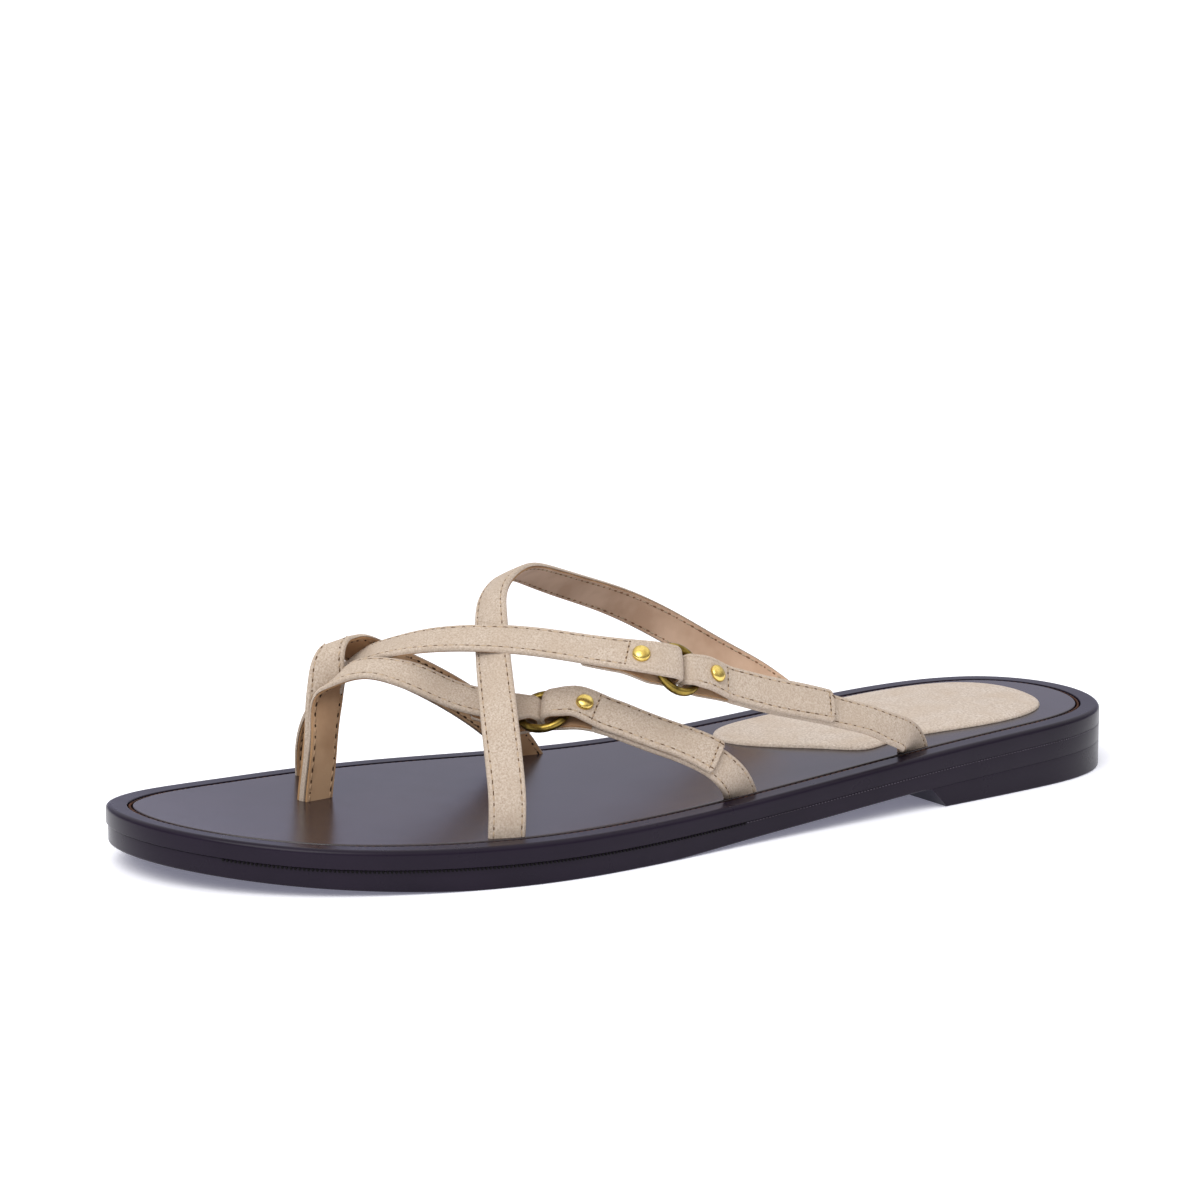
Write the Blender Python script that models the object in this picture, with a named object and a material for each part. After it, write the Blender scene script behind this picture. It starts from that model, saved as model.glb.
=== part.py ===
"""Toe post sandal, left foot: a flat sole with a low heel and an upper of crossing straps.

Metres, +Z up, toe toward -Y, outer side of the foot toward +X.  The sandal stands on z = 0.
The tables are in millimetres and each row is one station or one strap section.
"""

import math

import bmesh
import bpy
import numpy as np
from mathutils import Vector

MM = 0.001

# From the tables' origin to the middle of the sandal on the floor, in millimetres
TABLE_SHIFT = (-0.5, 0.0, 0.4)

# Sole sizes in millimetres
SOLE_LENGTH = 250.0
UPPER_BAND = 4.1
SEAM_GAP = 0.3
SEAM_ROUND = 0.25
TOE_STEP = 0.4
EDGE_ROUND = 1.6
ROUND_MIDDLE = 0.3
FOOT_ROUND = 0.5
CHANNEL_INSET = 4.5
CHANNEL_WIDTH = 1.2
FOOTBED_THICK = 2.0
FOOTBED_ROUND = 0.3
FLAT_FROM_Y = -69.0
FLAT_TO_Y = -21.0
HALF_STATIONS = 44
BREAST_FOOT_Y = 60.0
BREAST_TOP_Y = 55.3
BREAST_TOP_Z = 4.6
HEEL_LEAST = 1.5
PAD_LIFT = 0.2

# Strap sizes in millimetres
STRAP_WIDTH = 8.0
STRAP_THICK = 1.4
STRAP_CHAMFER = 0.35
LAYER_STEP = 1.58
SLOT_GAP = 0.3
SLOT_REACH = 4.5
SLOT_DEPTH = 3.0
LANDING_TOP = 14.0
LANDING_REACH = 12.0

# Ring and rivet sizes in millimetres
RING_RADIUS = 5.25
WIRE_RADIUS = 0.95
FOLD_RADIUS = 2.15
FOLD_EASE = 2.5
FOLD_LEAD = 1.2
TAIL_EASE = 8.0
TAIL_STEP = 2.5
RIVET_RADIUS = 1.95
RIVET_DOME = 0.85
RIVET_SEAT = 0.38
RIVET_RIM = 0.15
SHANK_RADIUS = 0.7
SHANK_LENGTH = 3.3
SHANK_GAP = 0.3
HOLE_LENGTH = 9.0
HOLE_SINK = 1.2

# Outline stations: distance from the heel back, inner side x, outer side x
OUTLINE = (
    (5.0, -17.6, 16.4),
    (10.0, -23.1, 22.3),
    (20.0, -28.0, 28.0),
    (35.0, -30.2, 31.5),
    (55.0, -29.7, 34.1),
    (80.0, -28.7, 36.7),
    (105.0, -29.4, 39.1),
    (130.0, -33.6, 41.9),
    (150.0, -38.9, 44.6),
    (165.0, -42.5, 45.9),
    (180.0, -44.6, 45.4),
    (195.0, -44.8, 42.4),
    (210.0, -42.9, 37.3),
    (225.0, -39.0, 29.5),
    (235.0, -34.1, 21.5),
    (242.0, -28.4, 13.6),
    (247.0, -22.0, 5.0),
)
HEEL_TIP_X = -0.5
TOE_TIP_X = -8.6

# Sole heights along the foot: y, footbed top z, outsole underside z
HEIGHTS = (
    (-125.0, 13.3, 5.0),
    (-110.0, 11.4, 3.1),
    (-95.0, 10.1, 1.6),
    (-80.0, 9.4, 0.5),
    (-68.0, 9.15, 0.0),
    (-50.0, 9.0, 0.0),
    (-22.0, 9.05, 0.0),
    (0.0, 9.6, 1.2),
    (25.0, 11.0, 2.8),
    (45.0, 12.3, 4.2),
    (65.0, 13.4, 5.2),
    (95.0, 14.4, 6.1),
    (125.0, 15.0, 6.7),
)

# Heel pad edge from the bottom up: distance in from the outline, height
PAD_PROFILE = ((0.0, 0.0), (0.0, 0.6), (0.7, 1.4), (2.2, 1.85), (4.5, 2.0))

# Heel pad outline: x, y
PAD_OUTLINE = (
    (3.0, 109.6),
    (-6.0, 110.4),
    (-14.0, 107.2),
    (-19.4, 100.0),
    (-21.6, 90.0),
    (-21.8, 78.0),
    (-20.6, 65.0),
    (-19.4, 52.0),
    (-18.8, 40.0),
    (-15.8, 30.0),
    (-8.0, 26.4),
    (1.0, 29.4),
    (10.5, 36.6),
    (18.0, 42.2),
    (22.2, 45.2),
    (20.4, 55.0),
    (19.8, 66.0),
    (21.2, 79.0),
    (20.6, 90.0),
    (17.0, 100.0),
    (11.0, 106.4),
)

# Strap sections: x, y, z, then the outward (suede) direction nx, ny, nz
TOE_OUTER = (
    (-13.5, -76.0, 7.1, -0.97, -0.24, 0.00),
    (-13.5, -75.8, 9.4, -0.97, -0.24, 0.00),
    (-13.5, -74.8, 16.8, -0.97, -0.24, 0.00),
    (-13.7, -73.8, 24.6, -0.98, -0.20, 0.00),
    (-13.5, -72.9, 30.9, -0.96, -0.10, 0.24),
    (-12.4, -72.3, 33.7, -0.76, -0.35, 0.54),
    (-10.9, -71.7, 35.5, -0.47, -0.52, 0.72),
    (-9.0, -70.5, 37.1, -0.13, -0.50, 0.86),
    (-7.3, -69.1, 38.0, 0.09, -0.36, 0.93),
    (-5.0, -66.9, 38.5, 0.24, -0.22, 0.95),
    (-2.0, -63.2, 38.0, 0.44, -0.15, 0.88),
    (0.5, -59.2, 36.6, 0.66, -0.05, 0.75),
    (2.0, -55.2, 34.5, 0.70, 0.02, 0.71),
    (4.2, -49.6, 31.8, 0.62, -0.10, 0.78),
    (7.6, -43.8, 30.2, 0.50, -0.28, 0.82),
)
TOE_INNER = (
    (-14.75, -76.3, 7.1, 0.97, 0.24, 0.00),
    (-14.75, -76.1, 9.4, 0.97, 0.24, 0.00),
    (-14.75, -75.1, 16.8, 0.97, 0.24, 0.00),
    (-14.95, -74.1, 24.6, 0.98, 0.18, 0.00),
    (-14.8, -73.3, 30.2, 0.97, -0.10, 0.02),
    (-14.7, -72.5, 35.2, 0.83, -0.42, 0.28),
    (-15.8, -71.6, 39.9, 0.42, -0.50, 0.76),
    (-17.3, -69.4, 41.7, -0.14, -0.34, 0.93),
    (-18.8, -66.5, 41.2, -0.52, -0.18, 0.83),
    (-19.6, -62.6, 40.2, -0.79, -0.02, 0.60),
    (-20.1, -58.4, 38.1, -0.93, -0.04, 0.34),
    (-20.8, -53.5, 35.6, -0.97, -0.10, 0.18),
    (-22.2, -44.4, 31.0, -0.98, -0.14, 0.10),
    (-23.6, -35.4, 25.8, -0.98, -0.15, 0.10),
    (-24.8, -27.7, 20.6, -0.98, -0.15, 0.08),
    (-26.2, -20.8, 15.2, -0.98, -0.02, 0.10),
    (-27.1, -16.8, 11.4, -0.97, 0.10, 0.18),
    (-27.5, -14.9, 9.0, -0.96, 0.17, 0.24),
    (-27.6, -13.7, 7.3, -0.95, 0.20, 0.27),
)
CROSS_BACK = (
    (-37.2, -64.9, 7.1, -1.00, -0.10, 0.00),
    (-37.2, -65.0, 9.4, -0.99, -0.10, 0.05),
    (-36.3, -65.5, 15.1, -0.97, -0.15, 0.20),
    (-34.2, -65.8, 20.9, -0.87, -0.26, 0.41),
    (-30.3, -65.9, 26.9, -0.67, -0.45, 0.59),
    (-23.4, -65.0, 33.9, -0.37, -0.60, 0.72),
    (-17.1, -63.0, 38.2, -0.19, -0.56, 0.81),
    (-9.0, -59.4, 41.7, -0.02, -0.48, 0.88),
    (-1.5, -55.1, 43.9, 0.17, -0.45, 0.88),
    (4.4, -50.7, 44.9, 0.28, -0.42, 0.86),
    (11.6, -44.2, 45.3, 0.42, -0.36, 0.83),
    (17.8, -36.9, 44.7, 0.54, -0.27, 0.80),
    (24.7, -30.1, 43.7, 0.62, -0.22, 0.75),
    (30.4, -24.5, 43.0, 0.72, -0.14, 0.68),
)
CROSS_FRONT = (
    (37.4, -58.0, 6.9, 0.95, -0.30, 0.10),
    (37.4, -57.9, 9.2, 0.95, -0.30, 0.14),
    (35.8, -56.8, 16.0, 0.87, -0.30, 0.39),
    (32.5, -55.4, 21.8, 0.72, -0.32, 0.62),
    (25.7, -52.5, 29.5, 0.52, -0.44, 0.73),
    (19.8, -49.8, 34.9, 0.40, -0.54, 0.74),
    (11.7, -46.0, 42.4, 0.30, -0.66, 0.69),
    (5.5, -42.7, 47.5, 0.18, -0.70, 0.69),
    (-1.4, -38.2, 52.2, -0.08, -0.64, 0.76),
    (-6.4, -32.8, 54.4, -0.22, -0.46, 0.86),
    (-14.0, -23.4, 54.4, -0.48, -0.10, 0.87),
    (-19.4, -15.5, 51.8, -0.64, -0.02, 0.77),
    (-26.2, -2.0, 46.6, -0.73, -0.08, 0.68),
    (-32.4, 15.9, 39.6, -0.86, -0.04, 0.51),
    (-32.6, 28.2, 33.4, -0.96, 0.08, 0.26),
    (-29.6, 42.6, 24.8, -0.97, 0.22, 0.00),
    (-27.2, 49.6, 20.5, -0.95, 0.20, -0.14),
    (-25.0, 55.0, 16.4, -0.93, 0.12, -0.28),
    (-23.2, 58.6, 13.0, -0.88, 0.03, -0.42),
    (-22.5, 59.9, 11.3, -0.86, 0.00, -0.48),
)
TAB_FRONT = (
    (33.4, 4.2, 7.9, 0.83, 0.08, -0.50),
    (34.0, 3.6, 9.2, 0.85, 0.10, -0.46),
    (35.3, 2.0, 11.4, 0.92, 0.18, -0.26),
    (36.6, -0.3, 13.9, 0.97, 0.14, 0.04),
    (37.0, -2.9, 16.3, 0.94, 0.08, 0.32),
    (36.2, -5.3, 18.3, 0.86, -0.02, 0.51),
    (34.6, -8.1, 20.0, 0.76, -0.10, 0.64),
    (31.8, -12.0, 21.8, 0.67, -0.10, 0.73),
    (29.0, -15.8, 23.4, 0.66, -0.11, 0.74),
    (25.9, -19.9, 25.3, 0.65, -0.15, 0.74),
    (22.6, -24.2, 27.2, 0.60, -0.27, 0.75),
)
TAB_BACK = (
    (27.7, 55.6, 11.2, 0.80, 0.08, -0.58),
    (28.4, 55.0, 12.3, 0.81, 0.10, -0.55),
    (29.6, 53.8, 13.9, 0.86, 0.22, -0.38),
    (32.1, 51.0, 16.1, 0.90, 0.38, -0.10),
    (34.2, 47.4, 18.1, 0.87, 0.44, 0.20),
    (35.6, 43.0, 19.9, 0.88, 0.23, 0.42),
    (36.3, 37.6, 22.3, 0.80, 0.14, 0.58),
    (36.4, 30.4, 24.7, 0.78, 0.06, 0.62),
    (36.1, 23.4, 27.0, 0.83, 0.01, 0.55),
    (35.4, 16.1, 29.1, 0.87, -0.04, 0.49),
    (34.6, 9.9, 30.8, 0.87, -0.04, 0.49),
    (33.8, 2.8, 33.0, 0.84, 0.00, 0.54),
    (32.9, -2.2, 34.5, 0.83, 0.06, 0.55),
)

# Rings: centre, axis out of the foot, direction toward the tab strap
RING_FRONT = ((14.0, -34.5, 28.6), (0.32, -0.44, 0.84), (0.66, 0.74, 0.13))
RING_BACK = ((33.2, -12.4, 38.8), (0.837, 0.157, 0.521), (0.035, 0.940, -0.338))
FRONT_APPROACH = (0.63, 0.77, 0.05)
FRONT_RETURN = (-0.66, -0.74, -0.13)
BACK_APPROACH = (0.18, 0.95, -0.24)
BACK_RETURN = (-0.15, -0.95, 0.26)

# Folds round the rings: reach past the wire, strap width in the fold
TOE_FOLD = (1.5, 6.2)
CROSS_FOLD = (2.7, 7.3)
FRONT_FOLD = (3.1, 7.4)
BACK_FOLD = (1.3, 6.0)
TAIL_LENGTH = 12.0
TAB_FRONT_LENGTH = 36.5
TAB_BACK_LENGTH = 36.5
RIVET_STEP = 8.6


def unit(v):
    v = np.asarray(v, float)
    return v / np.linalg.norm(v)


def cubic(points, closed=False, slope=None):
    """Second-derivative-continuous cubic through the points, by chord length.

    slope, when given, is the rate of change at the last point.
    """
    p = np.asarray(points, float)
    if closed:
        p = np.vstack([p, p[:1]])
    n = len(p)
    s = np.concatenate([[0.0], np.cumsum(np.linalg.norm(np.diff(p[:, :3], axis=0), axis=1))])
    h = np.diff(s)
    m = np.zeros((n, n))
    r = np.zeros((n, p.shape[1]))
    for i in range(1, n - 1):
        m[i, i - 1] = h[i - 1]
        m[i, i] = 2.0 * (h[i - 1] + h[i])
        m[i, i + 1] = h[i]
        r[i] = 6.0 * ((p[i + 1] - p[i]) / h[i] - (p[i] - p[i - 1]) / h[i - 1])
    if closed:
        m[0, 0] = 2.0 * (h[-1] + h[0])
        m[0, 1] = h[0]
        m[0, n - 2] = h[-1]
        r[0] = 6.0 * ((p[1] - p[0]) / h[0] - (p[0] - p[n - 2]) / h[-1])
        m[n - 1, 0] = 1.0
        m[n - 1, n - 1] = -1.0
    else:
        m[0, 0] = 1.0
        m[n - 1, n - 1] = 1.0
    if slope is not None:
        m[n - 1, n - 2] = h[-1]
        m[n - 1, n - 1] = 2.0 * h[-1]
        r[n - 1] = 6.0 * (np.asarray(slope) - (p[-1] - p[-2]) / h[-1])
    q = np.linalg.solve(m, r)

    def at(t):
        t = np.atleast_1d(np.asarray(t, float))
        i = np.clip(np.searchsorted(s, t, side="right") - 1, 0, n - 2)
        hi = h[i][:, None]
        a = (s[i + 1] - t)[:, None]
        b = (t - s[i])[:, None]
        bend = q[i] * a ** 3 / (6.0 * hi) + q[i + 1] * b ** 3 / (6.0 * hi)
        line = (p[i] / hi - q[i] * hi / 6.0) * a + (p[i + 1] / hi - q[i + 1] * hi / 6.0) * b
        return bend + line

    return at, s


def evenly(at, start, stop, count):
    """Points at even arc length between two curve parameters."""
    t = np.linspace(start, stop, 800)
    d = at(t)
    run = np.concatenate([[0.0], np.cumsum(np.linalg.norm(np.diff(d, axis=0), axis=1))])
    return at(np.interp(np.linspace(0.0, run[-1], count), run, t))


def heights(y):
    rows = np.array(HEIGHTS)
    top, s_top = cubic(rows[:, :2])
    low, s_low = cubic(rows[:, [0, 2]])
    fine_top = top(np.linspace(0.0, s_top[-1], 900))
    fine_low = low(np.linspace(0.0, s_low[-1], 900))
    z_top = np.interp(y, fine_top[:, 0], fine_top[:, 1])
    z_low = np.interp(y, fine_low[:, 0], fine_low[:, 1])
    flat = (np.asarray(y) > FLAT_FROM_Y) & (np.asarray(y) < FLAT_TO_Y)
    z_low = np.where(flat, 0.0, np.maximum(z_low, 0.0))
    return z_top, z_low


def sole_loop():
    """Closed outline: inner side from heel to toe, then outer side back to the heel."""
    y = [SOLE_LENGTH / 2 - u for u, _, _ in OUTLINE]
    inner = [(row[1], v) for row, v in zip(OUTLINE, y)]
    outer = [(row[2], v) for row, v in zip(OUTLINE, y)]
    points = [(HEEL_TIP_X, SOLE_LENGTH / 2)] + inner
    points += [(TOE_TIP_X, -SOLE_LENGTH / 2)] + outer[::-1]
    at, s = cubic(points, closed=True)
    toe = s[len(inner) + 1]
    a = evenly(at, 0.0, toe, HALF_STATIONS + 1)
    b = evenly(at, toe, s[-1], HALF_STATIONS + 1)
    loop = np.vstack([a[:-1], b[:-1]])
    loop[:, 0] += TABLE_SHIFT[0]
    return loop


def inset(loop, d):
    """Move each outline point inward along the local normal by one distance or one for each."""
    t = np.roll(loop, -1, axis=0) - np.roll(loop, 1, axis=0)
    t /= np.linalg.norm(t, axis=1)[:, None]
    inward = np.stack([-t[:, 1], t[:, 0]], axis=1)
    if np.sum(inward[0] * (loop.mean(axis=0) - loop[0])) < 0:
        inward = -inward
    return loop + np.broadcast_to(d, len(loop))[:, None] * inward


def material(name, colour, rough, metal=0.0):
    m = bpy.data.materials.new(name)
    m.use_nodes = True
    b = m.node_tree.nodes["Principled BSDF"]
    b.inputs["Base Color"].default_value = (*colour, 1.0)
    b.inputs["Roughness"].default_value = rough
    b.inputs["Metallic"].default_value = metal
    m.diffuse_color = (*colour, 1.0)
    return m


def mesh_object(name, verts, faces, mat):
    me = bpy.data.meshes.new(name)
    me.from_pydata([tuple(float(c) * MM for c in v) for v in verts], [], faces)
    bm = bmesh.new()
    bm.from_mesh(me)
    bmesh.ops.recalc_face_normals(bm, faces=bm.faces)
    bm.to_mesh(me)
    bm.free()
    ob = bpy.data.objects.new(name, me)
    bpy.context.scene.collection.objects.link(ob)
    if mat is not None:
        me.materials.append(mat)
    return ob


def stacked(name, rings, mat):
    """Solid from rings of equal count; the end rings are closed with strips across the foot."""
    n = len(rings[0])
    half = n // 2
    verts = [tuple(v) for ring in rings for v in ring]
    faces = []
    for k in range(len(rings) - 1):
        for i in range(n):
            j = (i + 1) % n
            faces.append((k * n + i, k * n + j, (k + 1) * n + j, (k + 1) * n + i))
    for base in (0, (len(rings) - 1) * n):
        for i in range(half):
            a, b = base + i, base + i + 1
            c, d = base + (n - i) % n, base + n - i - 1
            if i == 0:
                faces.append((a, b, d))
            elif i == half - 1:
                faces.append((a, b, c))
            else:
                faces.append((a, b, d, c))
    return mesh_object(name, verts, faces, mat)


def ring_at(loop, z):
    return np.column_stack([loop, z])


def make_sole(mats):
    loop = sole_loop()
    top_z = lambda p: heights(p[:, 1])[0]
    low_z = lambda p: heights(p[:, 1])[1]

    rings = []
    lower = inset(loop, TOE_STEP * (0.5 - loop[:, 1] / SOLE_LENGTH))
    for d, lift in ((FOOT_ROUND, 0.0), (0.0, FOOT_ROUND)):
        p = inset(lower, d)
        rings.append(ring_at(p, low_z(p) + lift))
    for d, drop in ((0.0, SEAM_ROUND), (SEAM_ROUND, 0.0)):
        p = inset(lower, d)
        rings.append(ring_at(p, top_z(p) - UPPER_BAND - SEAM_GAP - drop))
    outsole = stacked("outsole", rings, mats["sole"])

    rings = []
    rim = ((SEAM_ROUND, -UPPER_BAND), (0.0, -UPPER_BAND + SEAM_ROUND), (0.0, -EDGE_ROUND))
    middle = ROUND_MIDDLE * EDGE_ROUND
    rim += ((middle, -middle), (EDGE_ROUND, 0.0), (CHANNEL_INSET, 0.0))
    rim += ((CHANNEL_INSET, -FOOTBED_THICK - SEAM_GAP),)
    for d, lift in rim:
        p = inset(loop, d)
        rings.append(ring_at(p, top_z(p) + lift))
    midsole = stacked("midsole", rings, mats["sole"])

    rings = []
    for d, lift in ((0.0, -FOOTBED_THICK), (0.0, -FOOTBED_ROUND), (FOOTBED_ROUND, 0.0)):
        p = inset(loop, CHANNEL_INSET + CHANNEL_WIDTH + d)
        rings.append(ring_at(p, top_z(p) + lift))
    footbed = stacked("footbed", rings, mats["footbed"])

    rings = []
    for d, z in ((FOOT_ROUND, 0.0), (0.0, FOOT_ROUND), (0.0, None)):
        p = inset(lower, d)
        level = np.maximum(low_z(p) - SEAM_GAP, HEEL_LEAST) if z is None else np.full(len(p), z)
        rings.append(ring_at(p, level))
    heel = stacked("heel", rings, mats["heel"])
    slope = (BREAST_FOOT_Y - BREAST_TOP_Y) / BREAST_TOP_Z
    front = [(BREAST_FOOT_Y - slope * z, z) for z in (-5.0, 15.0)]
    box = []
    for y, z in front + [(140.0, 15.0), (140.0, -5.0)]:
        box += [(-60.0, y, z), (60.0, y, z)]
    faces = [(0, 2, 3, 1), (2, 4, 5, 3), (4, 6, 7, 5), (6, 0, 1, 7), (0, 6, 4, 2), (1, 3, 5, 7)]
    boolean(heel, [mesh_object("heel_block", box, faces, None)], "INTERSECT")
    return outsole, midsole, footbed, heel


def make_pad(mats):
    at, s = cubic(PAD_OUTLINE, closed=True)
    loop = evenly(at, 0.0, s[-1], 49)[:-1]
    loop[:, 0] += TABLE_SHIFT[0]
    rings = []
    for d, lift in PAD_PROFILE:
        p = inset(loop, d)
        rings.append(ring_at(p, heights(p[:, 1])[0] + PAD_LIFT + lift))
    return stacked("heel_pad", rings, mats["pad"])


def boolean(target, tools, operation):
    for tool in tools:
        mod = target.modifiers.new("join", "BOOLEAN")
        mod.operation = operation
        mod.solver = "EXACT"
        mod.object = tool
        bpy.context.view_layer.objects.active = target
        bpy.ops.object.modifier_apply(modifier=mod.name)
    for tool in tools:
        bpy.data.objects.remove(tool, do_unlink=True)


def path(rows, per_row, slope=None):
    """Sample a strap table: positions, outward directions and width directions along it."""
    at, s = cubic(rows, slope=slope)
    t = []
    for a, b in zip(s[:-1], s[1:]):
        count = per_row if slope is None or b < s[-1] else 2 * per_row
        t += list(np.linspace(a, b, count, endpoint=False))
    d = at(t + [s[-1]])
    p = d[:, :3] + TABLE_SHIFT
    t = np.gradient(p, axis=0)
    t /= np.linalg.norm(t, axis=1)[:, None]
    n = d[:, 3:6] - t * np.sum(d[:, 3:6] * t, axis=1)[:, None]
    n /= np.linalg.norm(n, axis=1)[:, None]
    return p, n, level_ends(p, np.cross(n, t), t)


def looped(rows, ring, toward, side, tail, fold, per_row=2):
    """Strap that runs to a ring, turns round its wire and comes back for a tail length.

    side +1 folds the tail under toward the foot, side -1 brings it back on the outside.
    """
    centre, axis, along = (np.array(v, float) for v in ring)
    reach, fold_width = fold
    axis = unit(axis)
    along = unit(along - axis * (along @ axis))
    toward = unit(toward)
    wire = centre - RING_RADIUS * (along if toward @ along > 0 else -along)
    out = unit(axis - toward * (axis @ toward)) * side
    over = []
    for d in (-FOLD_LEAD, reach):
        over.append(np.concatenate([wire + FOLD_RADIUS * out + d * toward, out * side]))
    slope = np.concatenate([toward, np.zeros(3)])
    p, n, w = path(np.vstack([np.array(rows), over]), per_row, slope)
    run = np.concatenate([[0.0], np.cumsum(np.linalg.norm(np.diff(p, axis=0), axis=1))])
    back = run[-1] - run
    pivot = wire + reach * toward + TABLE_SHIFT
    turn = []
    for a in np.radians([30.0, 60.0, 90.0, 120.0, 150.0]):
        d = math.cos(a) * out + math.sin(a) * toward
        turn.append(np.concatenate([pivot + FOLD_RADIUS * d, d * side, w[-1]]))
    rivet = reach + RIVET_STEP - RING_RADIUS
    lead = reach + FOLD_LEAD
    steps = [0.0, reach, lead, *np.arange(lead + TAIL_STEP, tail - TAIL_STEP / 2, TAIL_STEP), tail]
    tails = []
    for b in steps:
        ease = np.clip((b - lead) / TAIL_EASE, 0.0, 1.0)
        ease = ease * ease * (3.0 - 2.0 * ease)
        gap = 2.0 * FOLD_RADIUS * (1.0 - ease) + LAYER_STEP * ease
        spots = [[np.interp(b, back[::-1], f[::-1, k]) for k in range(3)] for f in (p, n, w)]
        q, m, v = np.array(spots)
        tails.append(np.concatenate([q - side * gap * unit(m), -m, v]))
    rows = np.vstack([np.hstack([p, n, w]), turn, tails])
    t = np.gradient(rows[:, :3], axis=0)
    t /= np.linalg.norm(t, axis=1)[:, None]
    rows[:, 3:6] -= t * np.sum(rows[:, 3:6] * t, axis=1)[:, None]
    rows[:, 3:6] /= np.linalg.norm(rows[:, 3:6], axis=1)[:, None]
    far = np.concatenate([back, np.zeros(len(turn)), steps])
    width = fold_width + (STRAP_WIDTH - fold_width) * np.clip(far / FOLD_EASE, 0.0, 1.0)
    miss = np.abs(far - rivet)
    spot = np.argmin(miss[:len(p)])
    if side < 0:
        spot = len(p) + len(turn) + np.argmin(miss[len(p) + len(turn):])
    return rows[:, :3], rows[:, 3:6], rows[:, 6:], width, spot


def level_ends(p, w, t):
    """Lean the sections near a landing until they lie level with the footbed."""
    run = np.concatenate([[0.0], np.cumsum(np.linalg.norm(np.diff(p, axis=0), axis=1))])
    w = w.copy()
    for end, far in ((0, run), (-1, run[-1] - run)):
        if p[end][2] > LANDING_TOP:
            continue
        lean = np.clip(1.0 - far / LANDING_REACH, 0.0, 1.0)
        steep = np.where(np.abs(t[:, 2]) > 0.3, t[:, 2], 1.0)
        w -= t * (lean * w[:, 2] / steep)[:, None]
    return w


def sweep(name, p, n, w, width, mat, grow=0.0):
    """Solid strap: a chamfered flat section carried along the path."""
    width = np.broadcast_to(width, len(p))
    verts, faces = [], []
    k = 8
    b = STRAP_THICK / 2 + grow
    c = STRAP_CHAMFER
    for i in range(len(p)):
        a = width[i] / 2 + grow
        ring = ((a, b - c), (a - c, b), (c - a, b), (-a, b - c))
        ring += ((-a, c - b), (c - a, -b), (a - c, -b), (a, c - b))
        verts += [p[i] + u * w[i] + v * n[i] for u, v in ring]
    for i in range(len(p) - 1):
        for j in range(k):
            m = (j + 1) % k
            faces.append((i * k + j, i * k + m, (i + 1) * k + m, (i + 1) * k + j))
    last = (len(p) - 1) * k
    faces.append(tuple(range(k)))
    faces.append(tuple(range(last, last + k)))
    return mesh_object(name, verts, faces, mat)


def slot(p, n, w):
    """Cutter for the opening in the footbed: the strap's own end, a little larger."""
    if p[0][2] > p[-1][2]:
        p, n, w = p[::-1], n[::-1], w[::-1]
    count = int(np.argmax(p[:, 2] > p[0][2] + SLOT_REACH)) + 1
    end = p[0] - SLOT_DEPTH * unit(p[1] - p[0])
    p = np.vstack([[end], p[:count]])
    n = np.vstack([[n[0]], n[:count]])
    w = np.vstack([[w[0]], w[:count]])
    return sweep("slot", p, n, w, STRAP_WIDTH, None, SLOT_GAP)


def make_ring(name, ring, mat):
    centre, axis, _ = ring
    bpy.ops.mesh.primitive_torus_add(
        major_radius=RING_RADIUS * MM,
        minor_radius=WIRE_RADIUS * MM,
        major_segments=28,
        minor_segments=8,
    )
    ob = bpy.context.object
    ob.name = name
    ob.rotation_euler = Vector(axis).to_track_quat("Z", "Y").to_euler()
    ob.location = (Vector(centre) + Vector(TABLE_SHIFT)) * MM
    bpy.ops.object.transform_apply(location=True, rotation=True, scale=True)
    ob.data.materials.append(mat)
    return ob


def make_rivet(name, at, out, mat):
    """Domed head with a shank, turned about the strap's outward direction."""
    profile = []
    for a in np.radians([90.0, 60.0, 35.0, 12.0]):
        profile.append((RIVET_RADIUS * math.cos(a), RIVET_SEAT + RIVET_RIM + RIVET_DOME * math.sin(a)))
    profile[0] = (0.0, profile[0][1])
    profile += [(RIVET_RADIUS, RIVET_SEAT), (SHANK_RADIUS, RIVET_SEAT)]
    profile += [(SHANK_RADIUS, RIVET_SEAT - SHANK_LENGTH), (0.0, RIVET_SEAT - SHANK_LENGTH)]
    count = 16
    out = unit(out)
    side = unit(np.cross(out, [0.3, 0.9, 0.2]))
    up = np.cross(out, side)
    verts, faces, rows = [], [], []
    for r, h in profile:
        if r == 0.0:
            rows.append([len(verts)])
            verts.append(at + h * out)
            continue
        rows.append(list(range(len(verts), len(verts) + count)))
        for i in range(count):
            a = 2.0 * math.pi * i / count
            verts.append(at + r * (math.cos(a) * side + math.sin(a) * up) + h * out)
    for a, b in zip(rows[:-1], rows[1:]):
        for i in range(count):
            j = (i + 1) % count
            if len(a) == 1:
                faces.append((a[0], b[i], b[j]))
            elif len(b) == 1:
                faces.append((a[j], a[i], b[0]))
            else:
                faces.append((a[i], a[j], b[j], b[i]))
    return mesh_object(name, verts, faces, mat)


def shank_hole(at, out):
    radius = (SHANK_RADIUS + SHANK_GAP) * MM
    bpy.ops.mesh.primitive_cylinder_add(vertices=14, radius=radius, depth=HOLE_LENGTH * MM)
    ob = bpy.context.object
    ob.rotation_euler = Vector(out).to_track_quat("Z", "Y").to_euler()
    ob.location = Vector(at - HOLE_SINK * unit(out)) * MM
    bpy.ops.object.transform_apply(location=True, rotation=True, scale=True)
    return ob


def triangulate(ob):
    bm = bmesh.new()
    bm.from_mesh(ob.data)
    bmesh.ops.remove_doubles(bm, verts=bm.verts, dist=0.000002)
    bmesh.ops.dissolve_degenerate(bm, edges=bm.edges, dist=0.000002)
    bmesh.ops.triangulate(bm, faces=bm.faces)
    bm.to_mesh(ob.data)
    bm.free()


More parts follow.
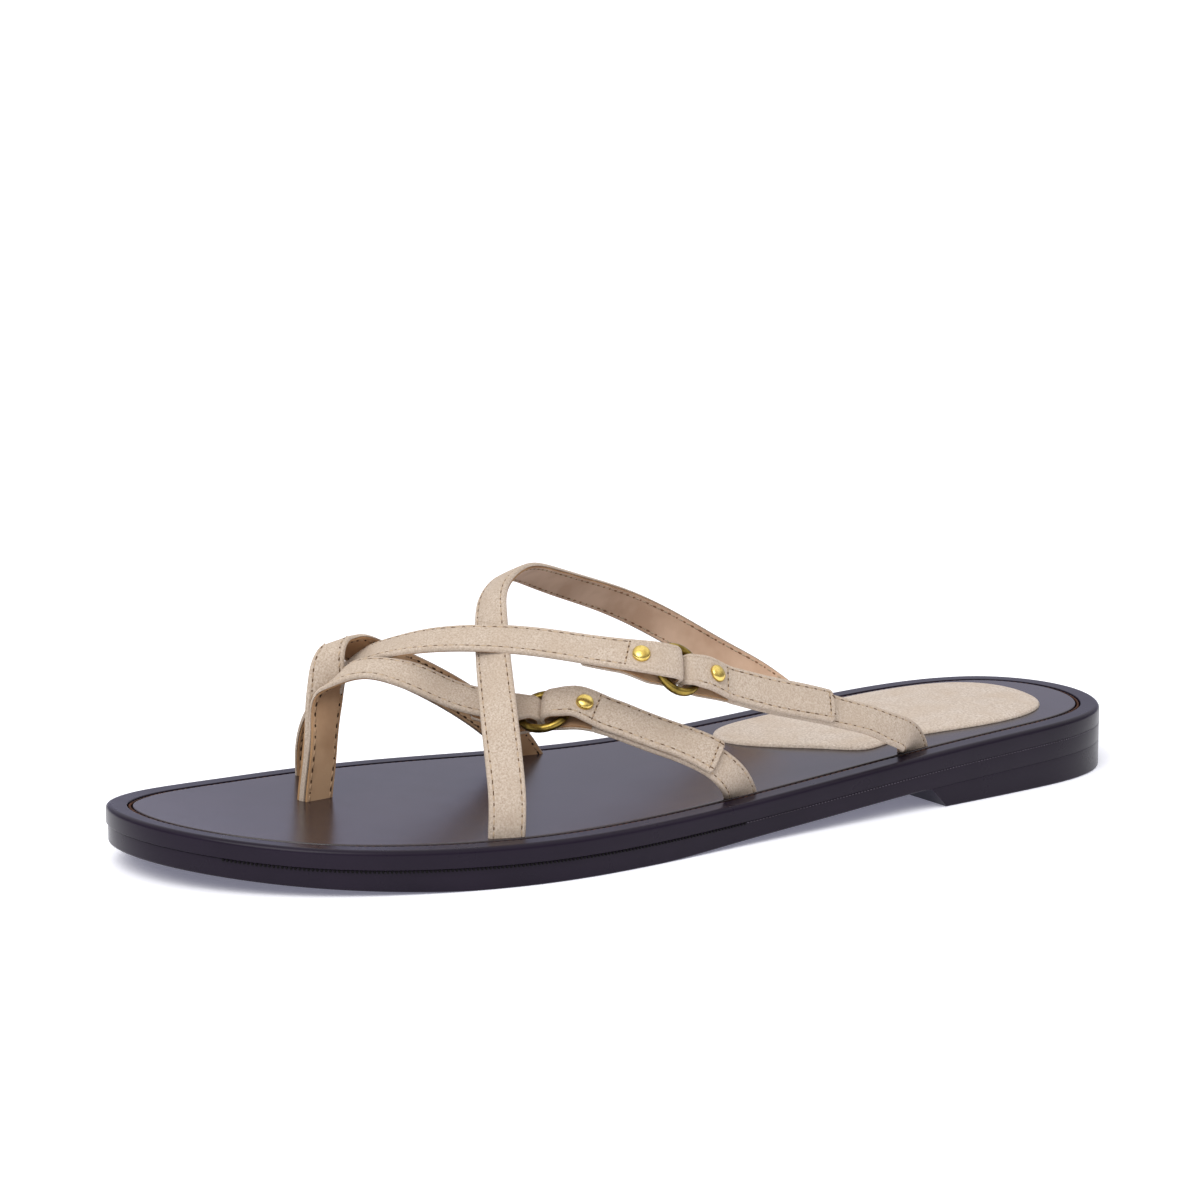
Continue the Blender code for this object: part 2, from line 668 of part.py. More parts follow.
def main():
    for ob in list(bpy.data.objects):
        bpy.data.objects.remove(ob, do_unlink=True)
    mats = {
        "sole": material("sole_brown", (0.022, 0.014, 0.014), 0.42),
        "heel": material("heel_brown", (0.020, 0.013, 0.013), 0.45),
        "footbed": material("footbed_brown", (0.030, 0.019, 0.018), 0.38),
        "pad": material("pad_beige", (0.72, 0.60, 0.48), 0.9),
        "strap": material("strap_beige", (0.66, 0.53, 0.41), 0.92),
        "ring": material("ring_brass", (0.40, 0.29, 0.10), 0.35, 1.0),
        "rivet": material("rivet_brass", (0.80, 0.60, 0.20), 0.25, 1.0),
    }
    outsole, midsole, footbed, heel = make_sole(mats)
    pad = make_pad(mats)

    toe_outer = looped(TOE_OUTER, RING_FRONT, FRONT_APPROACH, 1, TAIL_LENGTH, TOE_FOLD)
    cross_back = looped(CROSS_BACK, RING_BACK, BACK_APPROACH, 1, TAIL_LENGTH, CROSS_FOLD)
    tab_front = looped(TAB_FRONT, RING_FRONT, FRONT_RETURN, -1, TAB_FRONT_LENGTH, FRONT_FOLD)
    tab_back = looped(TAB_BACK, RING_BACK, BACK_RETURN, -1, TAB_BACK_LENGTH, BACK_FOLD)

    toe_inner = path(TOE_INNER, 2)
    cross_front = path(CROSS_FRONT, 2)
    upper = sweep("upper", *toe_outer[:4], mats["strap"])
    straps = [
        sweep("toe_inner", *toe_inner, STRAP_WIDTH, mats["strap"]),
        sweep("cross_back", *cross_back[:4], mats["strap"]),
        sweep("cross_front", *cross_front, STRAP_WIDTH, mats["strap"]),
    ]
    boolean(upper, straps, "UNION")
    front = sweep("strap_front", *tab_front[:4], mats["strap"])
    back = sweep("strap_back", *tab_back[:4], mats["strap"])

    fits = (
        ("rivet_toe", upper, toe_outer, 1),
        ("rivet_cross", upper, cross_back, 1),
        ("rivet_front", front, tab_front, -1),
        ("rivet_back", back, tab_back, -1),
    )
    for name, body, (p, n, _, _, spot), side in fits:
        out = side * unit(n[spot])
        at = p[spot] + out * STRAP_THICK / 2
        make_rivet(name, at, out, mats["rivet"])
        boolean(body, [shank_hole(at, out)], "DIFFERENCE")

    start, stop = slice(0, 9), slice(-9, None)
    landings = (
        (toe_outer, start),
        (toe_inner, start),
        (toe_inner, stop),
        (cross_back, start),
        (cross_front, start),
        (cross_front, stop),
        (tab_front, start),
        (tab_back, start),
    )
    slots = [slot(*(run[k][part] for k in range(3))) for run, part in landings]
    boolean(footbed, slots, "DIFFERENCE")
    make_ring("ring_front", RING_FRONT, mats["ring"])
    make_ring("ring_back", RING_BACK, mats["ring"])
    for ob in (outsole, midsole, footbed, heel, pad, upper, front, back):
        triangulate(ob)


main()
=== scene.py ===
# %% [markdown]
# # A toe post sandal
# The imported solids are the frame: they fix the size and place of every piece. This lesson dresses them with a
# moulded sole, napped straps with their lining and stitching, a soft heel pad and brass fittings.
# All sizes are in millimetres, and MM turns them into Blender's metres.

# %% Load the frame
import math

import bmesh
import bpy
import numpy as np
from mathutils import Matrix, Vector


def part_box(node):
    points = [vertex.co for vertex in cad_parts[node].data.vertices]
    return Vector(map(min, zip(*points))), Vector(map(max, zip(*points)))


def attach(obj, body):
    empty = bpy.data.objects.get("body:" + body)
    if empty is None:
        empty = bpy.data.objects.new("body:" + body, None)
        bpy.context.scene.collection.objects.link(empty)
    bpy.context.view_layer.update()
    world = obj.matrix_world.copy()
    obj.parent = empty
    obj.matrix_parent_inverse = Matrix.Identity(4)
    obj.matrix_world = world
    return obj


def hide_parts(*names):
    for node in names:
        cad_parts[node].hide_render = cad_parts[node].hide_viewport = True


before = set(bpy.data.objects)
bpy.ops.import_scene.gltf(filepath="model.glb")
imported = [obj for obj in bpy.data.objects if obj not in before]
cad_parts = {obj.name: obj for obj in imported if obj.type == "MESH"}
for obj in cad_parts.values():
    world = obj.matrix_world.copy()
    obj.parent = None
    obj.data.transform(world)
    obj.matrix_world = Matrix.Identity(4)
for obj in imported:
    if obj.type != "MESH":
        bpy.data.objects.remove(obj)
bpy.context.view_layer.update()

MM = 0.001
print("frame nodes:", ", ".join(sorted(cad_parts)))

# %% [markdown]
# ## Small helpers
# Operators act on whatever is selected, so each piece starts from an empty selection. A finished piece sits at
# the origin with its place in its mesh, rides on the one body and hides the solid it stands for. The tables are
# measured from the toe-to-heel line, and a small shift brings them to the middle of the frame.

# %% Helpers
TABLE_SHIFT = np.array((-0.5, 0.0, 0.4))


def deselect():
    if bpy.context.object and bpy.context.object.mode != "OBJECT":
        bpy.ops.object.mode_set(mode="OBJECT")
    bpy.ops.object.select_all(action="DESELECT")


def activate(ob):
    deselect()
    ob.select_set(True)
    bpy.context.view_layer.objects.active = ob


def modify(ob, kind, **settings):
    """Add one modifier, set it and apply it."""
    activate(ob)
    mod = ob.modifiers.new(kind.lower(), kind)
    for key, value in settings.items():
        setattr(mod, key, value)
    bpy.ops.object.modifier_apply(modifier=mod.name)


def finish_piece(ob, name, materials, nodes=(), angle=40.0):
    """Name a piece, smooth it, give it its materials and hang it on the frame."""
    activate(ob)
    bpy.ops.object.transform_apply(location=True, rotation=True, scale=True)
    ob.name = name
    ob.data.name = name
    for mat in materials:
        ob.data.materials.append(mat)
    bpy.ops.object.shade_smooth_by_angle(angle=math.radians(angle))
    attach(ob, "root")
    if nodes:
        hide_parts(*nodes)
    print(f"{name}: {len(ob.data.polygons)} faces")
    return ob


def unit(v):
    v = np.asarray(v, float)
    return v / np.linalg.norm(v)


print("tables move by", TABLE_SHIFT.tolist(), "mm")

# %% [markdown]
# ## Camera
# The camera stands in front of the toe on the outer side, at the height of a low table, with a long lens. Its
# place was found by matching the sole's outline in a square picture.

# %% Camera
CAMERA_PLACE = (647.83, -421.06, 185.60)
CAMERA_AIM = (-0.83226534, 0.52602997, -0.17500535)
FOCAL_SHARE = 2.915
SENSOR = 36.0

lens = bpy.data.cameras.new("camera")
lens.sensor_width = SENSOR
lens.lens = FOCAL_SHARE * SENSOR
camera = bpy.data.objects.new("camera", lens)
camera.location = Vector(CAMERA_PLACE) * MM
camera.rotation_euler = Vector(CAMERA_AIM).to_track_quat("-Z", "Y").to_euler()
bpy.context.collection.objects.link(camera)
bpy.context.scene.camera = camera
print(f"lens {lens.lens:.1f} mm")

# %% [markdown]
# ## Material tools
# Colours are written as sRGB hex values, as a paint card would give them, and one function makes them linear.
# One function adds a shader node, sets it and links it.


# %% Material tools
def rgb(hex_value):
    parts = [int(hex_value[i:i + 2], 16) / 255.0 for i in (0, 2, 4)]
    return [c / 12.92 if c <= 0.04045 else ((c + 0.055) / 1.055) ** 2.4 for c in parts] + [1.0]


def add(tree, kind, wires=(), ramp=(), **settings):
    """Add a shader node.

    Settings are its properties, wires its inputs, each a value or a socket to link from, and ramp the places and
    colours of a colour ramp.
    """
    node = tree.nodes.new(kind)
    for key, value in settings.items():
        setattr(node, key, value)
    for key, value in dict(wires).items():
        if isinstance(value, bpy.types.NodeSocket):
            tree.links.new(value, node.inputs[key])
        else:
            node.inputs[key].default_value = value
    for number, (place, colour) in enumerate(ramp):
        node.color_ramp.elements[number].position = place
        node.color_ramp.elements[number].color = rgb(colour)
    return node


def start(name, **sockets):
    """A material with its Principled shader set, and the object coordinates to draw patterns on."""
    mat = bpy.data.materials.new(name)
    mat.use_nodes = True
    shader = mat.node_tree.nodes["Principled BSDF"]
    for key, value in sockets.items():
        shader.inputs[key.replace("_", " ")].default_value = value
    where = add(mat.node_tree, "ShaderNodeTexCoord").outputs["Object"]
    return mat, mat.node_tree, shader, where


def per_metre(size_mm):
    """Noise scale that gives spots of this size."""
    return 1.0 / (size_mm * MM)


print(f"half grey is {rgb('808080')[0]:.3f} as linear light")

# %% [markdown]
# ## Suede
# The straps are a knitted cloth with a brushed nap that looks like suede. The nap gives no gloss, a pale bloom at
# its edges and a fine salt-and-pepper of fibre ends. Real fibre is finer than these spots of about 0.4 mm, which are
# as coarse as they need to be to show. Broader brush marks make soft light and dark patches. The heel pad is the same
# kind of cloth, paler and shorter.

# %% Suede
END_SHARE = 0.45
END_RELIEF = 0.5


def suede(name, deep, pale, tint, nap_mm, relief_mm, brush_mm):
    mat, tree, shader, where = start(
        name,
        Roughness=0.95,
        Sheen_Weight=0.25,
        Sheen_Roughness=0.6,
        Sheen_Tint=rgb(pale),
        Specular_IOR_Level=0.15,
    )
    fibre = add(
        tree,
        "ShaderNodeTexNoise",
        {"Vector": where, "Scale": per_metre(nap_mm), "Detail": 3.0, "Roughness": 0.65},
    )
    ends = add(tree, "ShaderNodeTexNoise", {"Vector": where, "Scale": per_metre(END_SHARE * nap_mm)})
    brush = add(tree, "ShaderNodeTexNoise", {"Vector": where, "Scale": per_metre(brush_mm), "Detail": 3.0})
    nap = add(tree, "ShaderNodeValToRGB", {"Fac": fibre.outputs["Fac"]}, ((0.30, deep), (0.70, pale)))
    marks = add(
        tree,
        "ShaderNodeMapRange",
        {"Value": brush.outputs["Fac"], "From Min": 0.35, "From Max": 0.70, "To Max": 0.5},
    )
    colour = add(
        tree,
        "ShaderNodeMix",
        {0: marks.outputs["Result"], 6: nap.outputs["Color"], 7: rgb(tint)},
        data_type="RGBA",
    )
    relief = add(tree, "ShaderNodeBump", {"Height": fibre.outputs["Fac"], "Distance": relief_mm * MM})
    fine = add(
        tree,
        "ShaderNodeBump",
        {
            "Height": ends.outputs["Fac"],
            "Distance": END_RELIEF * relief_mm * MM,
            "Normal": relief.outputs["Normal"],
        },
    )
    tree.links.new(colour.outputs[2], shader.inputs["Base Color"])
    tree.links.new(fine.outputs["Normal"], shader.inputs["Normal"])
    return mat


strap_suede = suede("brushed_strap_suede", "9C8A79", "C8BAAB", "AC9A88", 0.42, 0.12, 6.0)
pad_suede = suede("short_pad_suede", "9C8C7E", "D4C9BE", "B09D89", 0.50, 0.09, 8.0)
print("suede:", strap_suede.name, pad_suede.name)

# %% [markdown]
# ## Lining, edges and thread
# Behind the suede is a smooth coated lining with little gloss. It is darker than the suede; the instep strap gets a
# lighter copy of it, which is painted light. Where the layers are cut, the edge shows a warm tan line. The thread is
# as pale as the nap, and the shade in the needle holes between the stitches is painted as a row of short brown dashes.

# %% Lining, edges and thread
CLOUD_MM = 9.0


def coated(name, deep, pale, gloss, pore_mm, relief_mm):
    mat, tree, shader, where = start(name, Roughness=gloss, Specular_IOR_Level=0.10)
    cloud = add(tree, "ShaderNodeTexNoise", {"Vector": where, "Scale": per_metre(CLOUD_MM), "Detail": 3.0})
    pores = add(tree, "ShaderNodeTexNoise", {"Vector": where, "Scale": per_metre(pore_mm)})
    colour = add(tree, "ShaderNodeValToRGB", {"Fac": cloud.outputs["Fac"]}, ((0.35, deep), (0.65, pale)))
    skin = add(tree, "ShaderNodeBump", {"Height": pores.outputs["Fac"], "Distance": relief_mm * MM})
    tree.links.new(colour.outputs["Color"], shader.inputs["Base Color"])
    tree.links.new(skin.outputs["Normal"], shader.inputs["Normal"])
    return mat


lining_skin = coated("smooth_lining", "9C795B", "B49374", 0.65, 0.4, 0.03)
# Painted light: the same lining made lighter for the instep strap, where it shows more brightly lit.
painted_light_lining = coated("lit_lining", "BE9D84", "D2B39A", 0.65, 0.4, 0.03)
cut_edge = coated("cut_edge", "8E6A4A", "A88460", 0.75, 0.25, 0.08)
strap_thread = coated("strap_thread", "A28D76", "BBA68E", 0.6, 0.2, 0.05)
# The hole colours below are painted shade, the dark inside the needle holes between stitches; the lit lining's is
# lighter.
painted_stitch_shade = coated("needle_shade", "54402F", "6C5540", 0.9, 0.2, 0.02)
lining_thread = coated("lining_thread", "8C7056", "A88B6F", 0.6, 0.2, 0.05)
painted_lit_stitch_shade = coated("pale_lining_hole", "7A5C46", "8E6E55", 0.9, 0.2, 0.02)
painted_lining_stitch_shade = coated("lining_dent_shade", "33251A", "443222", 0.9, 0.2, 0.02)
print("lining and thread ready")

# %% [markdown]
# ## Sole materials
# The sole is moulded rubber, almost black with a purple-brown cast and a satin skin. The footbed is a coated sheet,
# smoother and a little browner. Grazing light gives it a grey sheen. A waxed dark brown thread lies in its stitch
# channel. The thread between the sole's bands is near black in front; toward the heel a grey copy of it is painted
# light.

# %% Sole materials
STAIN_MM = 18.0
WEAR_MM = 6.0
WEAR_GLOSS = (-0.03, 0.04)


def moulded(name, deep, pale, gloss, level, grain_mm, relief_mm):
    mat, tree, shader, where = start(name, Specular_IOR_Level=level)
    cloud = add(tree, "ShaderNodeTexNoise", {"Vector": where, "Scale": per_metre(STAIN_MM), "Detail": 4.0})
    wear = add(tree, "ShaderNodeTexNoise", {"Vector": where, "Scale": per_metre(WEAR_MM), "Detail": 3.0})
    grain = add(tree, "ShaderNodeTexNoise", {"Vector": where, "Scale": per_metre(grain_mm)})
    colour = add(tree, "ShaderNodeValToRGB", {"Fac": cloud.outputs["Fac"]}, ((0.3, deep), (0.7, pale)))
    rough = add(
        tree,
        "ShaderNodeMapRange",
        {"Value": wear.outputs["Fac"], "To Min": gloss + WEAR_GLOSS[0], "To Max": gloss + WEAR_GLOSS[1]},
    )
    skin = add(tree, "ShaderNodeBump", {"Height": grain.outputs["Fac"], "Distance": relief_mm * MM})
    tree.links.new(colour.outputs["Color"], shader.inputs["Base Color"])
    tree.links.new(rough.outputs["Result"], shader.inputs["Roughness"])
    tree.links.new(skin.outputs["Normal"], shader.inputs["Normal"])
    return mat


sole_rubber = moulded("moulded_rubber", "17101D", "1D1523", 0.28, 0.14, 0.8, 0.004)
footbed_skin = moulded("coated_footbed", "241A1D", "2B2023", 0.24, 0.43, 0.5, 0.0015)
sole_thread = coated("waxed_thread", "170E0D", "4A2C1A", 0.55, 0.3, 0.05)
welt_thread = coated("welt_thread", "070506", "0C0A0B", 0.55, 0.3, 0.02)
# Painted light: a paler copy of the welt thread for the rear, where the groove's lip would catch the light.
lit_welt_thread = coated("lit_welt_thread", "4A444C", "5C5660", 0.55, 0.3, 0.02)
print("sole materials ready")

# %% [markdown]
# ## Brass
# The rings are antique brass: a yellow metal with dark patina in the hollows. The rivets are polished, with a
# faint dulling where fingers don't reach.

# %% Brass
PATINA_DULL = 0.12
PATINA_RELIEF = 0.02


def brass(name, bright, dull, gloss, spot_mm, low, high):
    mat, tree, shader, where = start(name, Metallic=1.0)
    patina = add(
        tree,
        "ShaderNodeTexNoise",
        {"Vector": where, "Scale": per_metre(spot_mm), "Detail": 4.0, "Roughness": 0.6},
    )
    colour = add(tree, "ShaderNodeValToRGB", {"Fac": patina.outputs["Fac"]}, ((low, dull), (high, bright)))
    rough = add(
        tree,
        "ShaderNodeMapRange",
        {"Value": patina.outputs["Fac"], "To Min": gloss + PATINA_DULL, "To Max": gloss},
    )
    skin = add(tree, "ShaderNodeBump", {"Height": patina.outputs["Fac"], "Distance": PATINA_RELIEF * MM})
    tree.links.new(colour.outputs["Color"], shader.inputs["Base Color"])
    tree.links.new(rough.outputs["Result"], shader.inputs["Roughness"])
    tree.links.new(skin.outputs["Normal"], shader.inputs["Normal"])
    return mat


antique_brass = brass("antique_brass", "A58C44", "3A2D16", 0.26, 2.4, 0.32, 0.66)
bright_brass = brass("polished_brass", "E6CB74", "A98A3C", 0.20, 1.6, 0.25, 0.55)
print("brass ready")

# %% [markdown]
# ## Sole shape
# The outline is a row for each station along the foot, and the heights give the arch and the toe spring. The
# solids use the same sizes. Here the stations are closer together and the edges are rounded, so that the light
# runs smoothly along the rim.

# %% Sole sizes
SOLE_LENGTH = 250.0
UPPER_BAND = 4.1
SEAM_GAP = 0.3
SEAM_LINE = 0.05
HEEL_SEAM_LINE = SEAM_LINE / 4
SEAM_ROUND = 0.16
SEAM_FADE_Y = -40.0
TOE_STEP = 0.4
EDGE_ROUND = 1.1
FOOT_ROUND = 0.5
HEEL_ROUND = 0.06
HEEL_FROM_Y = 54.0
CHANNEL_INSET = 4.5
CHANNEL_WIDTH = 1.2
CHANNEL_ROUND = 0.2
RIM_FROM = 0.2
RIM_TO = 0.35
TREAD_FROM_Y = -69.0
TREAD_TO_Y = -21.0
FOOTBED_THICK = 2.0
HALF_STATIONS = 120
HEEL_TIP_X = -0.5
TOE_TIP_X = -8.6

# Outline stations: distance from the heel back, inner side x, outer side x
OUTLINE = (
    (5.0, -17.6, 16.4),
    (10.0, -23.1, 22.3),
    (20.0, -28.0, 28.0),
    (35.0, -30.2, 31.5),
    (55.0, -29.7, 34.1),
    (80.0, -28.7, 36.7),
    (105.0, -29.4, 39.1),
    (130.0, -33.6, 41.9),
    (150.0, -38.9, 44.6),
    (165.0, -42.5, 45.9),
    (180.0, -44.6, 45.4),
    (195.0, -44.8, 42.4),
    (210.0, -42.9, 37.3),
    (225.0, -39.0, 29.5),
    (235.0, -34.1, 21.5),
    (242.0, -28.4, 13.6),
    (247.0, -22.0, 5.0),
)

# Heights along the foot: y, footbed top z, outsole underside z
HEIGHTS = (
    (-125.0, 13.3, 5.0),
    (-110.0, 11.4, 3.1),
    (-95.0, 10.1, 1.6),
    (-80.0, 9.4, 0.5),
    (-68.0, 9.15, 0.0),
    (-50.0, 9.0, 0.0),
    (-22.0, 9.05, 0.0),
    (0.0, 9.6, 1.2),
    (25.0, 11.0, 2.8),
    (45.0, 12.3, 4.2),
    (65.0, 13.4, 5.2),
    (95.0, 14.4, 6.1),
    (125.0, 15.0, 6.7),
)
print("stations of the outline and the heights:", len(OUTLINE), len(HEIGHTS))

# %% [markdown]
# ## Curves
# A moulded edge has no corners, so a smooth curve runs through the stations. A cubic bends evenly from one station
# to the next, and points at even steps along it give even faces.

# %% Smooth curves through a table
CURVE_SAMPLES = 1600
HEIGHT_SAMPLES = 900


def units(rows):
    return rows / np.linalg.norm(rows, axis=1)[:, None]


def square_to(n, t):
    """Directions n, leaned until they stand square to t."""
    return units(n - t * np.sum(n * t, axis=1)[:, None])


def arc_length(p):
    return np.concatenate([[0.0], np.cumsum(np.linalg.norm(np.diff(p[:, :3], axis=0), axis=1))])


def cubic(points, closed=False, slope=None):
    """Smooth cubic through the points by chord length; slope is the rate of change at the last one."""
    p = np.asarray(points, float)
    if closed:
        p = np.vstack([p, p[:1]])
    n = len(p)
    s = arc_length(p)
    h = np.diff(s)
    m = np.zeros((n, n))
    r = np.zeros((n, p.shape[1]))
    for i in range(1, n - 1):
        m[i, i - 1:i + 2] = h[i - 1], 2.0 * (h[i - 1] + h[i]), h[i]
        r[i] = 6.0 * ((p[i + 1] - p[i]) / h[i] - (p[i] - p[i - 1]) / h[i - 1])
    if closed:
        m[0, 0] = 2.0 * (h[-1] + h[0])
        m[0, 1] = h[0]
        m[0, n - 2] = h[-1]
        r[0] = 6.0 * ((p[1] - p[0]) / h[0] - (p[0] - p[n - 2]) / h[-1])
        m[n - 1, 0] = 1.0
        m[n - 1, n - 1] = -1.0
    else:
        m[0, 0] = 1.0
        m[n - 1, n - 1] = 1.0
    if slope is not None:
        m[n - 1, n - 2:] = h[-1], 2.0 * h[-1]
        r[n - 1] = 6.0 * (np.asarray(slope) - (p[-1] - p[-2]) / h[-1])
    q = np.linalg.solve(m, r)

    def at(t):
        t = np.atleast_1d(np.asarray(t, float))
        i = np.clip(np.searchsorted(s, t, side="right") - 1, 0, n - 2)
        hi = h[i][:, None]
        a = (s[i + 1] - t)[:, None]
        b = (t - s[i])[:, None]
        bend = q[i] * a ** 3 / (6.0 * hi) + q[i + 1] * b ** 3 / (6.0 * hi)
        line = (p[i] / hi - q[i] * hi / 6.0) * a + (p[i + 1] / hi - q[i + 1] * hi / 6.0) * b
        return bend + line

    return at, s


def evenly(at, first, last, count):
    t = np.linspace(first, last, CURVE_SAMPLES)
    run = arc_length(at(t))
    return at(np.interp(np.linspace(0.0, run[-1], count), run, t))


def sole_heights(y):
    rows = np.array(HEIGHTS)
    found = []
    for column in (1, 2):
        at, s = cubic(rows[:, [0, column]])
        fine = at(np.linspace(0.0, s[-1], HEIGHT_SAMPLES))
        found.append(np.interp(y, fine[:, 0], fine[:, 1]))
    flat = (np.asarray(y) > TREAD_FROM_Y) & (np.asarray(y) < TREAD_TO_Y)
    return found[0], np.where(flat, 0.0, np.maximum(found[1], 0.0))


def sole_outline():
    y = [SOLE_LENGTH / 2 - u for u, _, _ in OUTLINE]
    inner = [(row[1], v) for row, v in zip(OUTLINE, y)]
    outer = [(row[2], v) for row, v in zip(OUTLINE, y)]
    points = [(HEEL_TIP_X, SOLE_LENGTH / 2)] + inner
    points += [(TOE_TIP_X, -SOLE_LENGTH / 2)] + outer[::-1]
    at, s = cubic(points, closed=True)
    toe = s[len(inner) + 1]
    a = evenly(at, 0.0, toe, HALF_STATIONS + 1)
    b = evenly(at, toe, s[-1], HALF_STATIONS + 1)
    loop = np.vstack([a[:-1], b[:-1]])
    loop[:, 0] += TABLE_SHIFT[0]
    return loop


def inset(loop, d):
    t = units(np.roll(loop, -1, axis=0) - np.roll(loop, 1, axis=0))
    inward = np.stack([-t[:, 1], t[:, 0]], axis=1)
    if np.sum(inward[0] * (loop.mean(axis=0) - loop[0])) < 0:
        inward = -inward
    return loop + np.broadcast_to(d, len(loop))[:, None] * inward


outline = sole_outline()
print("outline points:", len(outline))

# %% [markdown]
# ## Sole bands
# Each band starts as a circle with a point for each station. The circle is pulled to the first ring and then
# extruded ring by ring up the side and over the edge, the way a moulding's profile would be drawn. The last rings
# run in to the middle of the foot, where they meet and are merged. The lower band steps in a little at the toe. Its
# foot is rounded, but not over the heel, where the two lie flush with only a fine line between them.

# %% Sole bands
SPINE_SHARES = (0.02, 0.3, 0.65, 1.0)


def toward_spine(loop, share):
    """Move each point toward the middle of the foot, between it and the point across."""
    across = np.roll(loop[::-1], 1, axis=0)
    return loop + share * ((loop + across) / 2 - loop)


def ring_by_ring(rings):
    """Extrude a circle through the rings and close it where points meet."""
    deselect()
    bpy.ops.mesh.primitive_circle_add(vertices=len(rings[0]), fill_type="NOTHING")
    ob = bpy.context.object
    for v, co in zip(ob.data.vertices, rings[0]):
        v.co = Vector(co) * MM
    station = ob.data.attributes.new("station", "INT", "POINT")
    station.data.foreach_set("value", range(len(rings[0])))
    bpy.ops.object.mode_set(mode="EDIT")
    bpy.ops.mesh.select_mode(type="VERT")
    bpy.ops.mesh.select_all(action="SELECT")
    for ring in rings[1:]:
        bpy.ops.mesh.extrude_region_move()
        bm = bmesh.from_edit_mesh(ob.data)
        number = bm.verts.layers.int["station"]
        for v in bm.verts:
            if v.select:
                v.co = Vector(ring[v[number]]) * MM
        bmesh.update_edit_mesh(ob.data)
    bpy.ops.mesh.select_all(action="SELECT")
    bpy.ops.mesh.remove_doubles(threshold=0.000001)
    bpy.ops.mesh.normals_make_consistent(inside=False)
    bpy.ops.object.mode_set(mode="OBJECT")
    ob.data.attributes.remove(ob.data.attributes["station"])
    return ob


def at_level(p, base, lift):
    """Lift outline points above the footbed's top, the outsole's underside or the floor."""
    top, low = sole_heights(p[:, 1])
    return np.column_stack([p, {"top": top, "low": low, "floor": np.zeros(len(p))}[base] + lift])


def band(base_loop, rows):
    """Rings from profile rows: inset, which surface the height counts from, height above it."""
    rings = [at_level(inset(base_loop, d), base, lift) for d, base, lift in rows]
    first, last = rings[0], rings[-1]
    lead, tail = [], []
    for share in SPINE_SHARES:
        lead.append(at_level(toward_spine(first[:, :2], share), *rows[0][1:]))
        tail.append(at_level(toward_spine(last[:, :2], share), *rows[-1][1:]))
    return ring_by_ring(lead[::-1] + rings + tail)


def rounded(d, base, lift, radius, first, last, steps=4):
    """Profile rows round an edge: an arc about a point inset by radius, between two angles."""
    rows = []
    for a in np.radians(np.linspace(first, last, steps + 1)):
        rows.append((d + radius * (1.0 - math.cos(a)), base, lift + radius * math.sin(a)))
    return rows


lower = inset(outline, TOE_STEP * (0.5 - outline[:, 1] / SOLE_LENGTH))
foot_round = np.where(outline[:, 1] > HEEL_FROM_Y, HEEL_ROUND, FOOT_ROUND)
rows = rounded(0.0, "low", foot_round, foot_round, -90.0, 0.0)
fade = (SEAM_FADE_Y, HEEL_FROM_Y)
seam_round = np.interp(outline[:, 1], fade, (SEAM_ROUND, HEEL_ROUND))
seam_line = np.interp(outline[:, 1], fade, (SEAM_LINE, HEEL_SEAM_LINE))
rows += rounded(0.0, "top", -UPPER_BAND - seam_line - seam_round, seam_round, 0.0, 90.0)
finish_piece(band(lower, rows), "outsole_band", [sole_rubber], ["outsole"], angle=50.0)

rows = rounded(0.0, "top", seam_round - UPPER_BAND, seam_round, -90.0, 0.0)
rows += rounded(0.0, "top", -EDGE_ROUND, EDGE_ROUND, 0.0, 90.0, steps=8)
rows += [(EDGE_ROUND + RIM_FROM, "top", 0.0), (CHANNEL_INSET - RIM_TO, "top", 0.0)]
rows += rounded(CHANNEL_INSET, "top", -CHANNEL_ROUND, -CHANNEL_ROUND, -90.0, 0.0)
rows += [(CHANNEL_INSET, "top", -FOOTBED_THICK - SEAM_GAP)]
finish_piece(band(outline, rows), "midsole_band", [sole_rubber], ["midsole"], angle=50.0)

# %% [markdown]
# ## Heel
# A low block of the same rubber. It is one more band, from the floor to the sole's underside, and a slanted plane cuts
# its front, because a cut leaves that face flat.

# %% Heel
BREAST_FOOT_Y = 60.0
BREAST_SLOPE = (4.6, 4.7)
HEEL_LINE = 0.01

rows = rounded(0.0, "floor", FOOT_ROUND, FOOT_ROUND, -90.0, 0.0)
rows += rounded(0.0, "low", -HEEL_LINE - HEEL_ROUND, HEEL_ROUND, 0.0, 90.0)
heel_ob = band(lower, rows)
bpy.ops.object.mode_set(mode="EDIT")
bpy.ops.mesh.select_all(action="SELECT")
bpy.ops.mesh.bisect(
    plane_co=(0.0, BREAST_FOOT_Y * MM, 0.0),
    plane_no=(0.0, *BREAST_SLOPE),
    use_fill=True,
    clear_inner=True,
)
bpy.ops.object.mode_set(mode="OBJECT")
finish_piece(heel_ob, "heel_block", [sole_rubber], ["heel"], angle=45.0)

# %% [markdown]
# ## Footbed
# A coated sheet glued into the recess. It could be cut from a plane, but as a band it follows the sole's heights and
# has a small round at its edge. It is drawn without slots, because the straps fill them.

# %% Footbed
FOOTBED_ROUND = 0.3

edge = CHANNEL_INSET + CHANNEL_WIDTH
rows = [(edge, "top", -FOOTBED_THICK)] + rounded(edge, "top", -FOOTBED_ROUND, FOOTBED_ROUND, 0.0, 90.0)
finish_piece(band(outline, rows), "footbed_sheet", [footbed_skin], ["footbed"], angle=50.0)

# %% [markdown]
# ## Heel pad
# A thin foam pad under suede. It starts from its solid, is subdivided until its edge is soft, is pressed until the
# edge is almost flush and gets a slight crown so that it looks filled. Foam this thin hardly swells, so no cloth
# simulation is needed.

